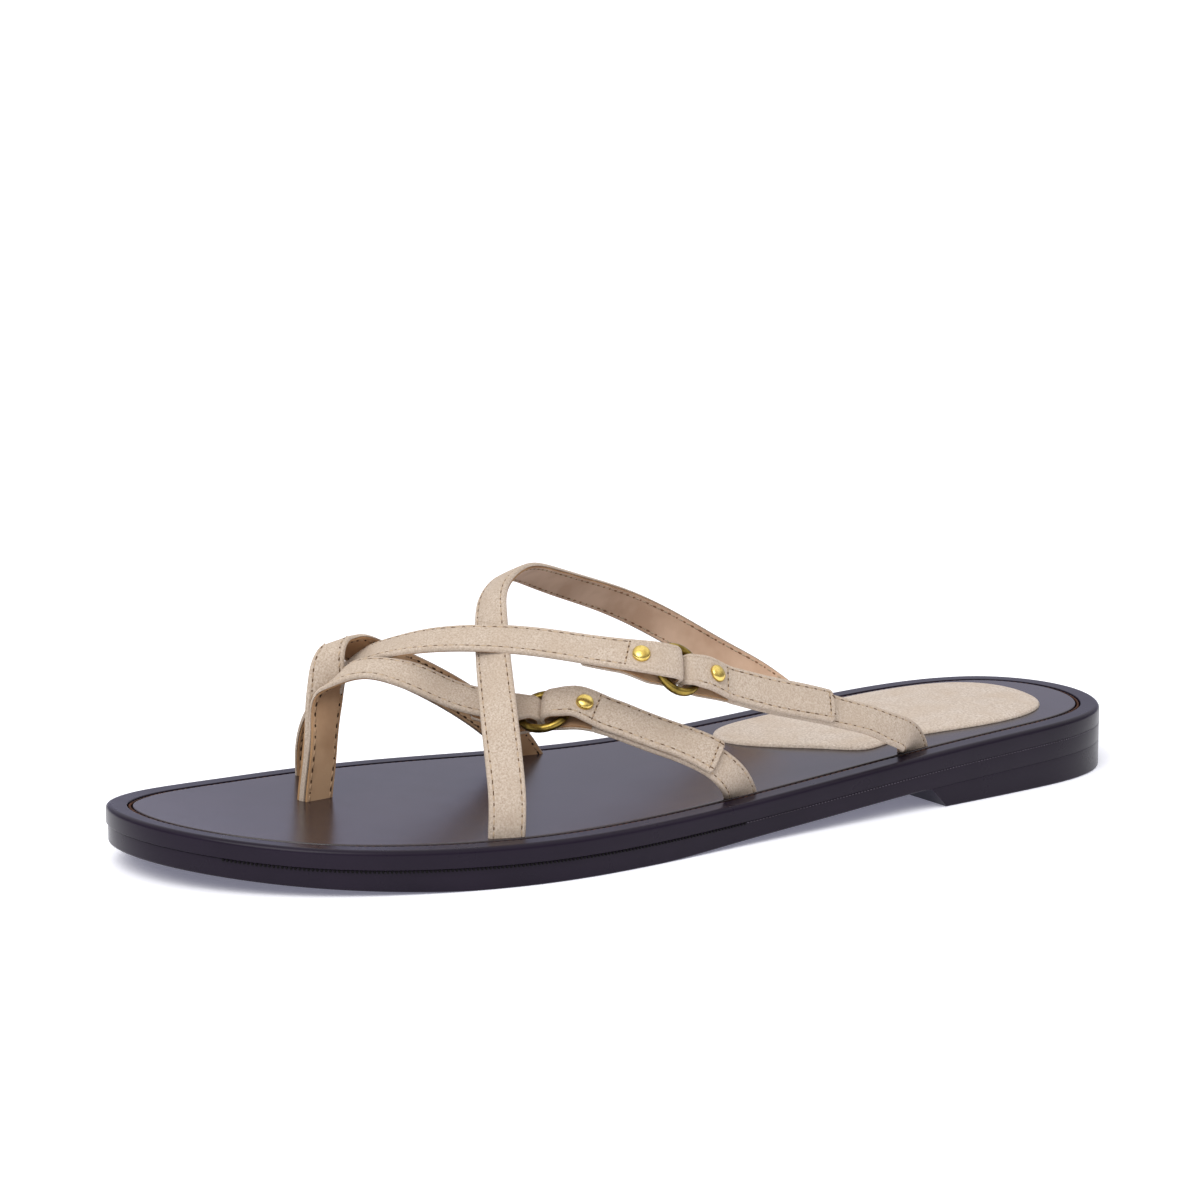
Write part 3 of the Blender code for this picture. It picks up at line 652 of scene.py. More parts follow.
# %% Heel pad
def refined(node, angle, levels):
    """A merged copy of a solid with four-sided faces, its sharp edges creased, subdivided."""
    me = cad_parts[node].data.copy()
    ob = bpy.data.objects.new(node + "_fine", me)
    bpy.context.collection.objects.link(ob)
    activate(ob)
    me.materials.clear()
    bpy.ops.object.mode_set(mode="EDIT")
    bpy.ops.mesh.select_all(action="SELECT")
    bpy.ops.mesh.remove_doubles(threshold=0.000002)
    bpy.ops.mesh.tris_convert_to_quads(face_threshold=0.35, shape_threshold=1.4)
    bpy.ops.object.mode_set(mode="OBJECT")
    crease = me.attributes.new("crease_edge", "FLOAT", "EDGE")
    bm = bmesh.new()
    bm.from_mesh(me)
    sharp = [1.0 if e.calc_face_angle(0.0) > math.radians(angle) else 0.0 for e in bm.edges]
    bm.free()
    crease.data.foreach_set("value", sharp)
    modify(ob, "SUBSURF", levels=levels, render_levels=levels)
    return ob


PAD_CROWN = 0.4
PAD_PRESS = 0.55
PAD_SINK = 0.1
CROWN_FROM = 1.0

pad_ob = refined("heel_pad", angle=60.0, levels=2)
co = np.array([v.co for v in pad_ob.data.vertices]) / MM
low, high = (np.array(corner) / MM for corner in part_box("heel_pad"))
share = (co - (low + high) / 2) / (high - low) * 2.0
swell = np.clip(1.0 - share[:, 0] ** 2, 0.0, 1.0) * np.clip(1.0 - share[:, 1] ** 4, 0.0, 1.0)
bed = sole_heights(co[:, 1])[0]
rise = co[:, 2] - bed
co[:, 2] = bed - PAD_SINK + PAD_PRESS * rise + np.where(rise > CROWN_FROM, PAD_CROWN * swell, 0.0)
pad_ob.data.vertices.foreach_set("co", (co * MM).ravel())
pad = finish_piece(pad_ob, "heel_pad_cover", [pad_suede], ["heel_pad"], angle=60.0)

# %% [markdown]
# ## Strap tables
# Each strap is a row for each section: its middle and the way its suede faces. The solids use the same rows.

# %% Strap tables
STRAP_WIDTH = 8.0
STRAP_THICK = 1.4
LAYER_STEP = 1.58
LANDING_TOP = 14.0
LANDING_REACH = 12.0
RING_RADIUS = 5.25
WIRE_RADIUS = 0.95
FOLD_RADIUS = 2.15
FOLD_EASE = 2.5
FOLD_LEAD = 1.0
FOLD_CORNER = 0.9
TURN_STEP = 12.0
TAIL_EASE = 8.0
TOE_TAIL = 12.0
CROSS_TAIL = 20.0
TAB_LENGTH = 36.5
TAIL_CORNER = 0.8
CORNER_SHARES = (1.0, 0.7, 0.4, 0.15, 0.0)
CORNER_CLEAR = 0.2
TAIL_SKIVE = 0.8
SKIVE_REACH = 10.0
RIVET_STEP = 8.6

# Strap sections: x, y, z, then the outward (suede) direction nx, ny, nz
TOE_OUTER = (
    (-13.5, -76.0, 7.1, -0.97, -0.24, 0.00),
    (-13.5, -75.8, 9.4, -0.97, -0.24, 0.00),
    (-13.5, -74.8, 16.8, -0.97, -0.24, 0.00),
    (-13.7, -73.8, 24.6, -0.98, -0.20, 0.00),
    (-13.5, -72.9, 30.9, -0.96, -0.10, 0.24),
    (-12.4, -72.3, 33.7, -0.76, -0.35, 0.54),
    (-10.9, -71.7, 35.5, -0.47, -0.52, 0.72),
    (-9.0, -70.5, 37.1, -0.13, -0.50, 0.86),
    (-7.3, -69.1, 38.0, 0.09, -0.36, 0.93),
    (-5.0, -66.9, 38.5, 0.24, -0.22, 0.95),
    (-2.0, -63.2, 38.0, 0.44, -0.15, 0.88),
    (0.5, -59.2, 36.6, 0.66, -0.05, 0.75),
    (2.0, -55.2, 34.5, 0.70, 0.02, 0.71),
    (4.2, -49.6, 31.8, 0.62, -0.10, 0.78),
    (7.6, -43.8, 30.2, 0.50, -0.28, 0.82),
)
TOE_INNER = (
    (-14.75, -76.3, 7.1, 0.97, 0.24, 0.00),
    (-14.75, -76.1, 9.4, 0.97, 0.24, 0.00),
    (-14.75, -75.1, 16.8, 0.97, 0.24, 0.00),
    (-14.95, -74.1, 24.6, 0.98, 0.18, 0.00),
    (-14.8, -73.3, 30.2, 0.97, -0.10, 0.02),
    (-14.7, -72.5, 35.2, 0.83, -0.42, 0.28),
    (-15.8, -71.6, 39.9, 0.42, -0.50, 0.76),
    (-17.3, -69.4, 41.7, -0.14, -0.34, 0.93),
    (-18.8, -66.5, 41.2, -0.52, -0.18, 0.83),
    (-19.6, -62.6, 40.2, -0.79, -0.02, 0.60),
    (-20.1, -58.4, 38.1, -0.93, -0.04, 0.34),
    (-20.8, -53.5, 35.6, -0.97, -0.10, 0.18),
    (-22.2, -44.4, 31.0, -0.98, -0.14, 0.10),
    (-23.6, -35.4, 25.8, -0.98, -0.15, 0.10),
    (-24.8, -27.7, 20.6, -0.98, -0.15, 0.08),
    (-26.2, -20.8, 15.2, -0.98, -0.02, 0.10),
    (-27.1, -16.8, 11.4, -0.97, 0.10, 0.18),
    (-27.5, -14.9, 9.0, -0.96, 0.17, 0.24),
    (-27.6, -13.7, 7.3, -0.95, 0.20, 0.27),
)
CROSS_BACK = (
    (-37.2, -64.9, 7.1, -1.00, -0.10, 0.00),
    (-37.2, -65.0, 9.4, -0.99, -0.10, 0.05),
    (-36.3, -65.5, 15.1, -0.97, -0.15, 0.20),
    (-34.2, -65.8, 20.9, -0.87, -0.26, 0.41),
    (-30.3, -65.9, 26.9, -0.67, -0.45, 0.59),
    (-23.4, -65.0, 33.9, -0.37, -0.60, 0.72),
    (-17.1, -63.0, 38.2, -0.19, -0.56, 0.81),
    (-9.0, -59.4, 41.7, -0.02, -0.48, 0.88),
    (-1.5, -55.1, 43.9, 0.17, -0.45, 0.88),
    (4.4, -50.7, 44.9, 0.28, -0.42, 0.86),
    (11.6, -44.2, 45.3, 0.42, -0.36, 0.83),
    (17.8, -36.9, 44.7, 0.54, -0.27, 0.80),
    (24.7, -30.1, 43.7, 0.62, -0.22, 0.75),
    (30.4, -24.5, 43.0, 0.72, -0.14, 0.68),
)
CROSS_FRONT = (
    (37.4, -58.0, 6.9, 0.95, -0.30, 0.10),
    (37.4, -57.9, 9.2, 0.95, -0.30, 0.14),
    (35.8, -56.8, 16.0, 0.87, -0.30, 0.39),
    (32.5, -55.4, 21.8, 0.72, -0.32, 0.62),
    (25.7, -52.5, 29.5, 0.52, -0.44, 0.73),
    (19.8, -49.8, 34.9, 0.40, -0.54, 0.74),
    (11.7, -46.0, 42.4, 0.30, -0.66, 0.69),
    (5.5, -42.7, 47.5, 0.18, -0.70, 0.69),
    (-1.4, -38.2, 52.2, -0.08, -0.64, 0.76),
    (-6.4, -32.8, 54.4, -0.22, -0.46, 0.86),
    (-14.0, -23.4, 54.4, -0.48, -0.10, 0.87),
    (-19.4, -15.5, 51.8, -0.64, -0.02, 0.77),
    (-26.2, -2.0, 46.6, -0.73, -0.08, 0.68),
    (-32.4, 15.9, 39.6, -0.86, -0.04, 0.51),
    (-32.6, 28.2, 33.4, -0.96, 0.08, 0.26),
    (-29.6, 42.6, 24.8, -0.97, 0.22, 0.00),
    (-27.2, 49.6, 20.5, -0.95, 0.20, -0.14),
    (-25.0, 55.0, 16.4, -0.93, 0.12, -0.28),
    (-23.2, 58.6, 13.0, -0.88, 0.03, -0.42),
    (-22.5, 59.9, 11.3, -0.86, 0.00, -0.48),
)
TAB_FRONT = (
    (33.4, 4.2, 7.9, 0.83, 0.08, -0.50),
    (34.0, 3.6, 9.2, 0.85, 0.10, -0.46),
    (35.3, 2.0, 11.4, 0.92, 0.18, -0.26),
    (36.6, -0.3, 13.9, 0.97, 0.14, 0.04),
    (37.0, -2.9, 16.3, 0.94, 0.08, 0.32),
    (36.2, -5.3, 18.3, 0.86, -0.02, 0.51),
    (34.6, -8.1, 20.0, 0.76, -0.10, 0.64),
    (31.8, -12.0, 21.8, 0.67, -0.10, 0.73),
    (29.0, -15.8, 23.4, 0.66, -0.11, 0.74),
    (25.9, -19.9, 25.3, 0.65, -0.15, 0.74),
    (22.6, -24.2, 27.2, 0.60, -0.27, 0.75),
)
TAB_BACK = (
    (27.7, 55.6, 11.2, 0.80, 0.08, -0.58),
    (28.4, 55.0, 12.3, 0.81, 0.10, -0.55),
    (29.6, 53.8, 13.9, 0.86, 0.22, -0.38),
    (32.1, 51.0, 16.1, 0.90, 0.38, -0.10),
    (34.2, 47.4, 18.1, 0.87, 0.44, 0.20),
    (35.6, 43.0, 19.9, 0.88, 0.23, 0.42),
    (36.3, 37.6, 22.3, 0.80, 0.14, 0.58),
    (36.4, 30.4, 24.7, 0.78, 0.06, 0.62),
    (36.1, 23.4, 27.0, 0.83, 0.01, 0.55),
    (35.4, 16.1, 29.1, 0.87, -0.04, 0.49),
    (34.6, 9.9, 30.8, 0.87, -0.04, 0.49),
    (33.8, 2.8, 33.0, 0.84, 0.00, 0.54),
    (32.9, -2.2, 34.5, 0.83, 0.06, 0.55),
)

# Rings: centre, axis out of the foot, direction toward the tab strap
RING_FRONT = ((14.0, -34.5, 28.6), (0.32, -0.44, 0.84), (0.66, 0.74, 0.13))
RING_BACK = ((33.2, -12.4, 38.8), (0.837, 0.157, 0.521), (0.035, 0.940, -0.338))
FRONT_APPROACH = (0.63, 0.77, 0.05)
FRONT_RETURN = (-0.66, -0.74, -0.13)
BACK_APPROACH = (0.18, 0.95, -0.24)
BACK_RETURN = (-0.15, -0.95, 0.26)

# Folds round the rings: reach past the wire, strap width in the fold
TOE_FOLD = (2.1, 6.6)
CROSS_FOLD = (2.7, 7.9)
FRONT_FOLD = (3.1, 7.4)
BACK_FOLD = (1.9, 7.4)
tables = (TOE_OUTER, TOE_INNER, CROSS_BACK, CROSS_FRONT, TAB_FRONT, TAB_BACK)
print("strap tables:", [len(table) for table in tables])

# %% [markdown]
# ## Strap routes
# A strap is cut flat and bent into place, so it is a line of sections with a width. One that is linked to a ring runs
# to the ring's wire, turns round it and comes back. Near the footbed its sections lie level, as the slots do.

# %% Strap routes
SECTION_STEP = 0.9
STEEP_LEAST = 0.3
POST_TOP = 28.0
POST_FADE = 10.0
POST_SWELL = 0.5
SHOULDER = (35.0, 4.0, 1.3)
FAR_RISE = (10.0, 26.0, 0.7)


def level_ends(p, w, t):
    """Lean the sections near a landing until they lie level with the footbed."""
    run = arc_length(p)
    w = w.copy()
    for end, far in ((0, run), (-1, run[-1] - run)):
        if p[end][2] > LANDING_TOP:
            continue
        lean = np.clip(1.0 - far / LANDING_REACH, 0.0, 1.0)
        steep = np.where(np.abs(t[:, 2]) > STEEP_LEAST, t[:, 2], 1.0)
        w -= t * (lean * w[:, 2] / steep)[:, None]
    return w


def route(rows, slope=None):
    """Even sections along a strap table: middle, outward direction and width direction."""
    at, s = cubic(rows, slope=slope)
    d = evenly(at, 0.0, s[-1], int(s[-1] / SECTION_STEP) + 1)
    p = d[:, :3] + TABLE_SHIFT
    t = units(np.gradient(p, axis=0))
    n = square_to(d[:, 3:6], t)
    return p, n, level_ends(p, np.cross(n, t), t)


def plain(rows):
    p, n, w = route(rows)
    width, thick = (np.full(len(p), size) for size in (STRAP_WIDTH, STRAP_THICK))
    return {"p": p, "n": n, "w": w, "width": width, "thick": thick}


def swell_post(run):
    """The sewn layers of the toe post spread a little toward the footbed."""
    share = np.clip((POST_TOP - run["p"][:, 2]) / POST_FADE, 0.0, 1.0)
    run["thick"] = run["thick"] + POST_SWELL * share * (arc_length(run["p"]) < POST_TOP)


def pinch(run, at, reach, amount):
    """Draw in one edge of a strap round a bend."""
    pull = amount * np.exp(-((arc_length(run["p"]) - at) / reach) ** 2)
    run["p"] = run["p"] - run["w"] * (pull / 2)[:, None]
    run["width"] = run["width"] - pull


def raise_far(run, middle, reach, amount):
    """Lift a strap a little in its own plane, most where its y is at the middle."""
    lift = amount * np.exp(-((run["p"][:, 1] - middle) / reach) ** 2)
    run["p"] = run["p"] + run["w"] * (lift * np.sign(run["w"][:, 2]))[:, None]


def looped(rows, ring, toward, side, tail, fold, skive=0.0):
    """Route to a ring, round its wire and back; side +1 folds under, side -1 comes back outside."""
    centre, axis, along = (np.array(v, float) for v in ring)
    reach, fold_width = fold
    axis = unit(axis)
    along = unit(along - axis * (along @ axis))
    toward = unit(toward)
    wire = centre - RING_RADIUS * (along if toward @ along > 0 else -along)
    out = unit(axis - toward * (axis @ toward)) * side
    over = []
    for d in (-FOLD_LEAD, reach):
        over.append(np.concatenate([wire + FOLD_RADIUS * out + d * toward, out * side]))
    p, n, w = route(np.vstack([np.array(rows), over]), np.concatenate([toward, np.zeros(3)]))
    back = arc_length(p)[-1] - arc_length(p)
    pivot = wire + reach * toward + TABLE_SHIFT
    angles = np.radians(np.arange(TURN_STEP, 180.0, TURN_STEP))
    turn = []
    for a in angles:
        d = math.cos(a) * out + math.sin(a) * toward
        turn.append(np.concatenate([pivot + FOLD_RADIUS * d, d * side, w[-1]]))
    steps = [*np.arange(0.0, tail - TAIL_CORNER - CORNER_CLEAR, SECTION_STEP)]
    steps += [tail - TAIL_CORNER * share for share in CORNER_SHARES]
    tails = []
    for b in steps:
        ease = np.clip((b - reach - FOLD_LEAD) / TAIL_EASE, 0.0, 1.0)
        ease = ease * ease * (3.0 - 2.0 * ease)
        gap = 2.0 * FOLD_RADIUS * (1.0 - ease) + LAYER_STEP * ease
        gap -= skive * np.clip(1.0 - (tail - b) / SKIVE_REACH, 0.0, 1.0)
        spots = [[np.interp(b, back[::-1], f[::-1, k]) for k in range(3)] for f in (p, n, w)]
        q, m, v = np.array(spots)
        tails.append(np.concatenate([q - side * gap * unit(m), -m, v]))
    rows = np.vstack([np.hstack([p, n, w]), turn, tails])
    rows[:, 3:6] = square_to(rows[:, 3:6], units(np.gradient(rows[:, :3], axis=0)))
    far = np.concatenate([back, np.zeros(len(turn)), steps])
    width = fold_width + (STRAP_WIDTH - fold_width) * np.clip(far / FOLD_EASE, 0.0, 1.0)
    width[len(p):len(p) + len(turn)] -= FOLD_CORNER * np.sin(angles) ** 4
    corner = np.clip(TAIL_CORNER - tail + np.array(steps), 0.0, TAIL_CORNER)
    width[-len(steps):] -= 2.0 * (TAIL_CORNER - np.sqrt(TAIL_CORNER ** 2 - corner ** 2))
    return {
        "p": rows[:, :3],
        "n": rows[:, 3:6],
        "w": rows[:, 6:],
        "width": width,
        "thick": np.full(len(rows), STRAP_THICK),
        "far": far,
        "turn": len(p) - 1,
        "tail": len(p) + len(turn),
        "rivet": reach + RIVET_STEP - RING_RADIUS,
    }


def piece_of(run, first, last, flip=False):
    """A stretch of a route, turned over when its suede is on the other side."""
    part = {k: run[k][first:last].copy() for k in ("p", "n", "w", "width", "thick")}
    if flip:
        part["n"] = -part["n"]
        part["w"] = -part["w"]
    return part


toe_outer = looped(TOE_OUTER, RING_FRONT, FRONT_APPROACH, 1, TOE_TAIL, TOE_FOLD)
cross_back = looped(CROSS_BACK, RING_BACK, BACK_APPROACH, 1, CROSS_TAIL, CROSS_FOLD, TAIL_SKIVE)
tab_front = looped(TAB_FRONT, RING_FRONT, FRONT_RETURN, -1, TAB_LENGTH, FRONT_FOLD)
tab_back = looped(TAB_BACK, RING_BACK, BACK_RETURN, -1, TAB_LENGTH, BACK_FOLD)
toe_inner = plain(TOE_INNER)
cross_front = plain(CROSS_FRONT)
swell_post(toe_outer)
swell_post(toe_inner)
pinch(toe_inner, *SHOULDER)
raise_far(cross_front, *FAR_RISE)
for name, run in (("toe_outer", toe_outer), ("toe_inner", toe_inner), ("cross_front", cross_front)):
    print(name, f"{arc_length(run['p'])[-1]:.0f} mm")

# %% [markdown]
# ## Strap strips
# A strap is two strips sewn together: suede outside and lining inside. Each strip starts as a flat grid, is laid
# along its route and is given its thickness. The suede is turned down round the edges, and a shallow trough follows
# each row of stitches, as sewing makes it. The lining is a little narrower, so its cut edge shows as a tan line.

# %% Strap strips
SUEDE_THICK = 0.5
LINING_THICK = 0.56
LINING_INSET = 0.3

# Across half of the strap: share of the half width from the middle, lift of the suede in millimetres
HALF_PROFILE = (
    (0.00, 0.10),
    (0.30, 0.09),
    (0.55, 0.05),
    (0.69, 0.00),
    (0.75, -0.14),
    (0.80, -0.02),
    (0.85, -0.02),
    (0.90, -0.08),
    (0.945, -0.20),
    (0.98, -0.42),
    (1.00, -0.72),
    (0.995, -1.00),
)
PROFILE = tuple((-a, lift) for a, lift in HALF_PROFILE[:0:-1]) + HALF_PROFILE
LINING_PROFILE = ((-1.0, 0.0), (-0.5, 0.0), (0.0, 0.0), (0.5, 0.0), (1.0, 0.0))


def strip(run, profile, level, thick, materials, trim=0.0):
    """A grid laid along a route's upper (level 1) or lower (level -1) face, then thickened inward."""
    deselect()
    along, across = len(run["p"]), len(profile)
    bpy.ops.mesh.primitive_grid_add(x_subdivisions=along - 1, y_subdivisions=across - 1, size=1.0)
    ob = bpy.context.object
    for mat in materials:
        ob.data.materials.append(mat)
    flat = np.array([v.co for v in ob.data.vertices])
    i = np.rint((flat[:, 0] + 0.5) * (along - 1)).astype(int)
    j = np.rint((flat[:, 1] + 0.5) * (across - 1)).astype(int)
    shares = np.array(profile)
    half = run["width"][i] / 2 - trim
    lift = level * run["thick"][i] / 2 + shares[j, 1]
    place = run["p"][i] + run["w"][i] * (half * shares[j, 0])[:, None] + run["n"][i] * lift[:, None]
    ob.data.vertices.foreach_set("co", (place * MM).ravel())
    ob.data.update()
    modify(ob, "SOLIDIFY", thickness=thick * MM, offset=-level, material_offset_rim=len(materials) - 1)
    return ob


def sewn_strap(name, run, nodes, lining):
    """Suede and lining of one strap."""
    top = strip(run, PROFILE, 1.0, SUEDE_THICK, [strap_suede])
    finish_piece(top, name + "_suede", [], nodes, angle=60.0)
    low = strip(run, LINING_PROFILE, -1.0, LINING_THICK, [lining, cut_edge], LINING_INSET)
    finish_piece(low, name + "_lining", [])


print("points across suede and lining:", len(PROFILE), len(LINING_PROFILE))

# %% [markdown]
# ## Link straps
# A link strap comes up from its slot and ends inside a tab. The tab is a strap of its own: it starts under the link
# strap, turns round the ring and comes back on the outside with its suede still outward. The end of the link strap
# is tucked into the tab, a little narrower and thinner.

# %% Link straps
TAB_OVERLAP = 10.0
TUCK_SECTIONS = 4
TUCK_WIDTH = 0.6
TUCK_THICK = 0.4
TAB_WIDER = 0.8
# The strap whose lining gets the lighter copy, which is painted light.
LIT_LINED_STRAP = "cross_strap_front"


def tab_split(run):
    return int(np.argmax(run["far"] < TAB_OVERLAP))


def link(run):
    """The stretch from the slot to the tab, with its end tucked in."""
    split = tab_split(run)
    part = piece_of(run, 0, split + TUCK_SECTIONS)
    part["width"][split:] -= TUCK_WIDTH
    part["thick"][split:] -= TUCK_THICK
    return part


def tab(run, wider=0.0):
    """The stretch from under the link strap, round the ring and back; a wider one grows upward."""
    split = tab_split(run)
    part = piece_of(run, split, None, True)
    part["tail"] = run["tail"] - split
    part["rivet"] = run["rivet"]
    part["p"] += part["w"] * (np.sign(part["w"][:, 2]) * wider / 2)[:, None]
    part["width"] += wider
    return part


runs = {
    "toe_strap_outer": (toe_outer, ["upper"]),
    "toe_strap_inner": (toe_inner, ["upper"]),
    "cross_strap_back": (cross_back, ["upper"]),
    "cross_strap_front": (cross_front, ["upper"]),
    "link_strap_front": (link(tab_front), ["strap_front"]),
    "link_tab_front": (tab(tab_front, TAB_WIDER), ["strap_front"]),
    "link_strap_back": (link(tab_back), ["strap_back"]),
    "link_tab_back": (tab(tab_back), ["strap_back"]),
}
for name, (run, nodes) in runs.items():
    sewn_strap(name, run, nodes, painted_light_lining if name == LIT_LINED_STRAP else lining_skin)

# %% [markdown]
# ## Stitches
# One stitch is a stretched bead of pale thread, and between two stitches a short dark bead is painted shade, the shade
# in the needle hole. Both are modelled once and copied along the edges of each strap, on the suede and on the lining.
# A row across the strap closes each fold behind its rivet, and another closes the end of each tab.

# %% Stitches
STITCH_PITCH = 2.4
STITCH_SIZE = (1.40, 0.42, 0.32)
HOLE_SIZE = (1.05, 0.38, 0.24)
LINING_STITCH_SIZE = (1.50, 0.55, 0.40)
LINING_HOLE_SIZE = (1.25, 0.52, 0.30)
STITCH_INSET = 1.0
STITCH_RISE = 0.04
LINING_SINK = 0.02
HOLE_LEAST = 0.4
HOLE_MOST = 1.1
HOLE_VARY = 5.7
END_CLEAR = 2.5
ROW_CLEAR = 0.6
FOLD_CLEAR = 1.0
CROSS_HOLES = 5
CROSS_HOLE_SHARE = 0.7
CROSS_STITCH_SHARE = 0.7
CROSS_ROW = 4.4
TAB_ROW = 3.5
TAB_END_ROW = 1.1
PAST_FOLD = 3


def bead(size, segments=6, rings=4):
    """A small ball stretched along x, as points and faces."""
    deselect()
    bpy.ops.mesh.primitive_uv_sphere_add(segments=segments, ring_count=rings, radius=0.5)
    ob = bpy.context.object
    points = np.array([v.co for v in ob.data.vertices])[:, [2, 1, 0]] * np.array(size)
    faces = [tuple(f.vertices)[::-1] for f in ob.data.polygons]
    bpy.data.objects.remove(ob, do_unlink=True)
    return points, faces


def copies(name, model, places, mat):
    """Copies of a small model at many places: origin, along, across, up."""
    points, faces = model
    verts, polys = [], []
    for origin, along, across, up in places:
        base = len(verts)
        verts += list(origin + points @ np.array([along, across, up]))
        polys += [tuple(base + k for k in f) for f in faces]
    me = bpy.data.meshes.new(name)
    me.from_pydata([tuple(v * MM) for v in verts], [], polys)
    ob = bpy.data.objects.new(name, me)
    bpy.context.collection.objects.link(ob)
    return finish_piece(ob, name, [mat], angle=80.0)


def frame_at(run, s, across, kind):
    """Place on a strap: distance along, share of the way to the stitch row and which kind of row."""
    d = arc_length(run["p"])
    found = []
    for rows in (run["p"], run["n"], run["w"], np.gradient(run["p"], axis=0)):
        found.append(np.array([np.interp(s, d, rows[:, c]) for c in range(3)]))
    p, n, w, t = found
    n, t = unit(n), unit(t)
    half = np.interp(s, d, run["width"]) / 2
    out = (half - STITCH_INSET) * across
    shares, lifts = np.array(HALF_PROFILE[:-1]).T
    face, lift = -1.0, -LINING_SINK
    if kind == "suede":
        face, lift = 1.0, np.interp(abs(out) / half, shares, lifts) + STITCH_RISE
    up = n * face
    place = p + w * out + up * (np.interp(s, d, run["thick"]) / 2 + lift)
    return place, t, unit(np.cross(n, t)), up


ROWS = ("suede", "lining", "lit_lining")
stitches = {kind: [] for kind in ROWS}
holes = {kind: [] for kind in ROWS}


def seam(run, first, last, across, kind="suede"):
    """Stitches and the painted shade of the needle holes along one edge; the holes differ in length, as the nap hides
    some.
    """
    for s in np.arange(first, last, STITCH_PITCH):
        stitches[kind].append(frame_at(run, s, across, kind))
        p, t, w, up = frame_at(run, s + STITCH_PITCH / 2, across, kind)
        length = HOLE_LEAST + (HOLE_MOST - HOLE_LEAST) * abs(math.sin(HOLE_VARY * len(holes[kind])))
        holes[kind].append((p, length * t, w, up))


def cross_row(run, s):
    """A short row of stitches across the suede, between the two edge rows."""
    for across in np.linspace(-1.0, 1.0, CROSS_HOLES):
        p, t, w, up = frame_at(run, s, across, "suede")
        holes["suede"].append((p, CROSS_HOLE_SHARE * w, -t, up))
    reach = 1.0 - 1.0 / (CROSS_HOLES - 1)
    for across in np.linspace(-reach, reach, CROSS_HOLES - 1):
        p, t, w, up = frame_at(run, s, across, "suede")
        stitches["suede"].append((p, CROSS_STITCH_SHARE * w, -t, up))


def edge_rows(run, first, last, kind="suede"):
    for across in (-1.0, 1.0):
        seam(run, first, last, across, kind)


for name, (run, _) in runs.items():
    d = arc_length(run["p"])
    inside = "lit_lining" if name == LIT_LINED_STRAP else "lining"
    if name.startswith("link_tab"):
        fold = d[run["tail"]]
        row = fold + run["rivet"] + TAB_ROW
        edge_rows(run, row + ROW_CLEAR, d[-1] - TAB_END_ROW)
        cross_row(run, row)
        cross_row(run, d[-1] - TAB_END_ROW)
        low_edge = -np.sign(run["w"][run["tail"] + PAST_FOLD][2])
        seam(run, fold + FOLD_CLEAR, row, low_edge)
    elif "turn" in run:
        main = d[run["turn"]]
        row = main - run["rivet"] - CROSS_ROW
        edge_rows(run, END_CLEAR, row - ROW_CLEAR)
        edge_rows(run, END_CLEAR, main - END_CLEAR, inside)
        cross_row(run, row)
    else:
        edge_rows(run, END_CLEAR, d[-1] - END_CLEAR)
        edge_rows(run, END_CLEAR, d[-1] - END_CLEAR, inside)
copies("suede_stitches", bead(STITCH_SIZE), stitches["suede"], strap_thread)
# The dark beads between the stitches are painted shade in the needle holes.
copies("suede_needle_holes", bead(HOLE_SIZE), holes["suede"], painted_stitch_shade)
copies("lining_stitches", bead(LINING_STITCH_SIZE), stitches["lining"], lining_thread)
copies("lining_needle_holes", bead(LINING_HOLE_SIZE), holes["lining"], painted_lining_stitch_shade)
copies("pale_lining_stitches", bead(STITCH_SIZE), stitches["lit_lining"], strap_thread)
copies("pale_lining_needle_holes", bead(LINING_HOLE_SIZE), holes["lit_lining"], painted_lit_stitch_shade)

# %% [markdown]
# ## Sole stitches
# A waxed thread lies in the channel round the footbed, just under its top. Behind the toe, a fine thread closes the
# line between the two bands. It is dark in front; behind, where it would catch the light, a paler copy is painted
# light. Each stitch is a bead, copied at even steps along the outline.

# %% Sole stitches
CHANNEL_PITCH = 1.7
CHANNEL_SIZE = (1.6, 0.75, 0.6)
CHANNEL_LIFT = -0.40
WELT_PITCH = 0.9
WELT_INSET = 0.04
WELT_SIZE = (0.55, 0.44, 0.75)
WELT_DROP = 0.28
PALE_WELT_SIZE = (0.50, 0.22, 0.20)
WELT_FROM_Y = -114.0
WELT_PALE_FROM_Y = 0.0


def along_loop(loop, lift, pitch):
    """Places spaced along a closed line on the sole: origin, along, across, up."""
    ring = np.vstack([loop, loop[:1]])
    run = arc_length(ring)
    s = np.linspace(0.0, run[-1], int(run[-1] / pitch), endpoint=False)
    p = np.column_stack([np.interp(s, run, ring[:, k]) for k in (0, 1)])
    p = np.column_stack([p, sole_heights(p[:, 1])[0] + lift])
    slope = np.roll(p, -1, axis=0) - np.roll(p, 1, axis=0)
    places = []
    for at, t in zip(p, slope):
        along = unit(t)
        across = unit(np.cross((0.0, 0.0, 1.0), along))
        places.append((at, along, across, np.cross(along, across)))
    return places


channel = along_loop(inset(outline, CHANNEL_INSET + CHANNEL_WIDTH / 2), CHANNEL_LIFT, CHANNEL_PITCH)
copies("channel_stitches", bead(CHANNEL_SIZE), channel, sole_thread)
welt = along_loop(inset(outline, WELT_INSET), -UPPER_BAND - WELT_DROP, WELT_PITCH)
front = [place for place in welt if WELT_FROM_Y < place[0][1] < WELT_PALE_FROM_Y]
rear = [place for place in welt if place[0][1] > WELT_PALE_FROM_Y]
copies("welt_stitches", bead(WELT_SIZE), front, welt_thread)
copies("rear_welt_stitches", bead(PALE_WELT_SIZE), rear, lit_welt_thread)

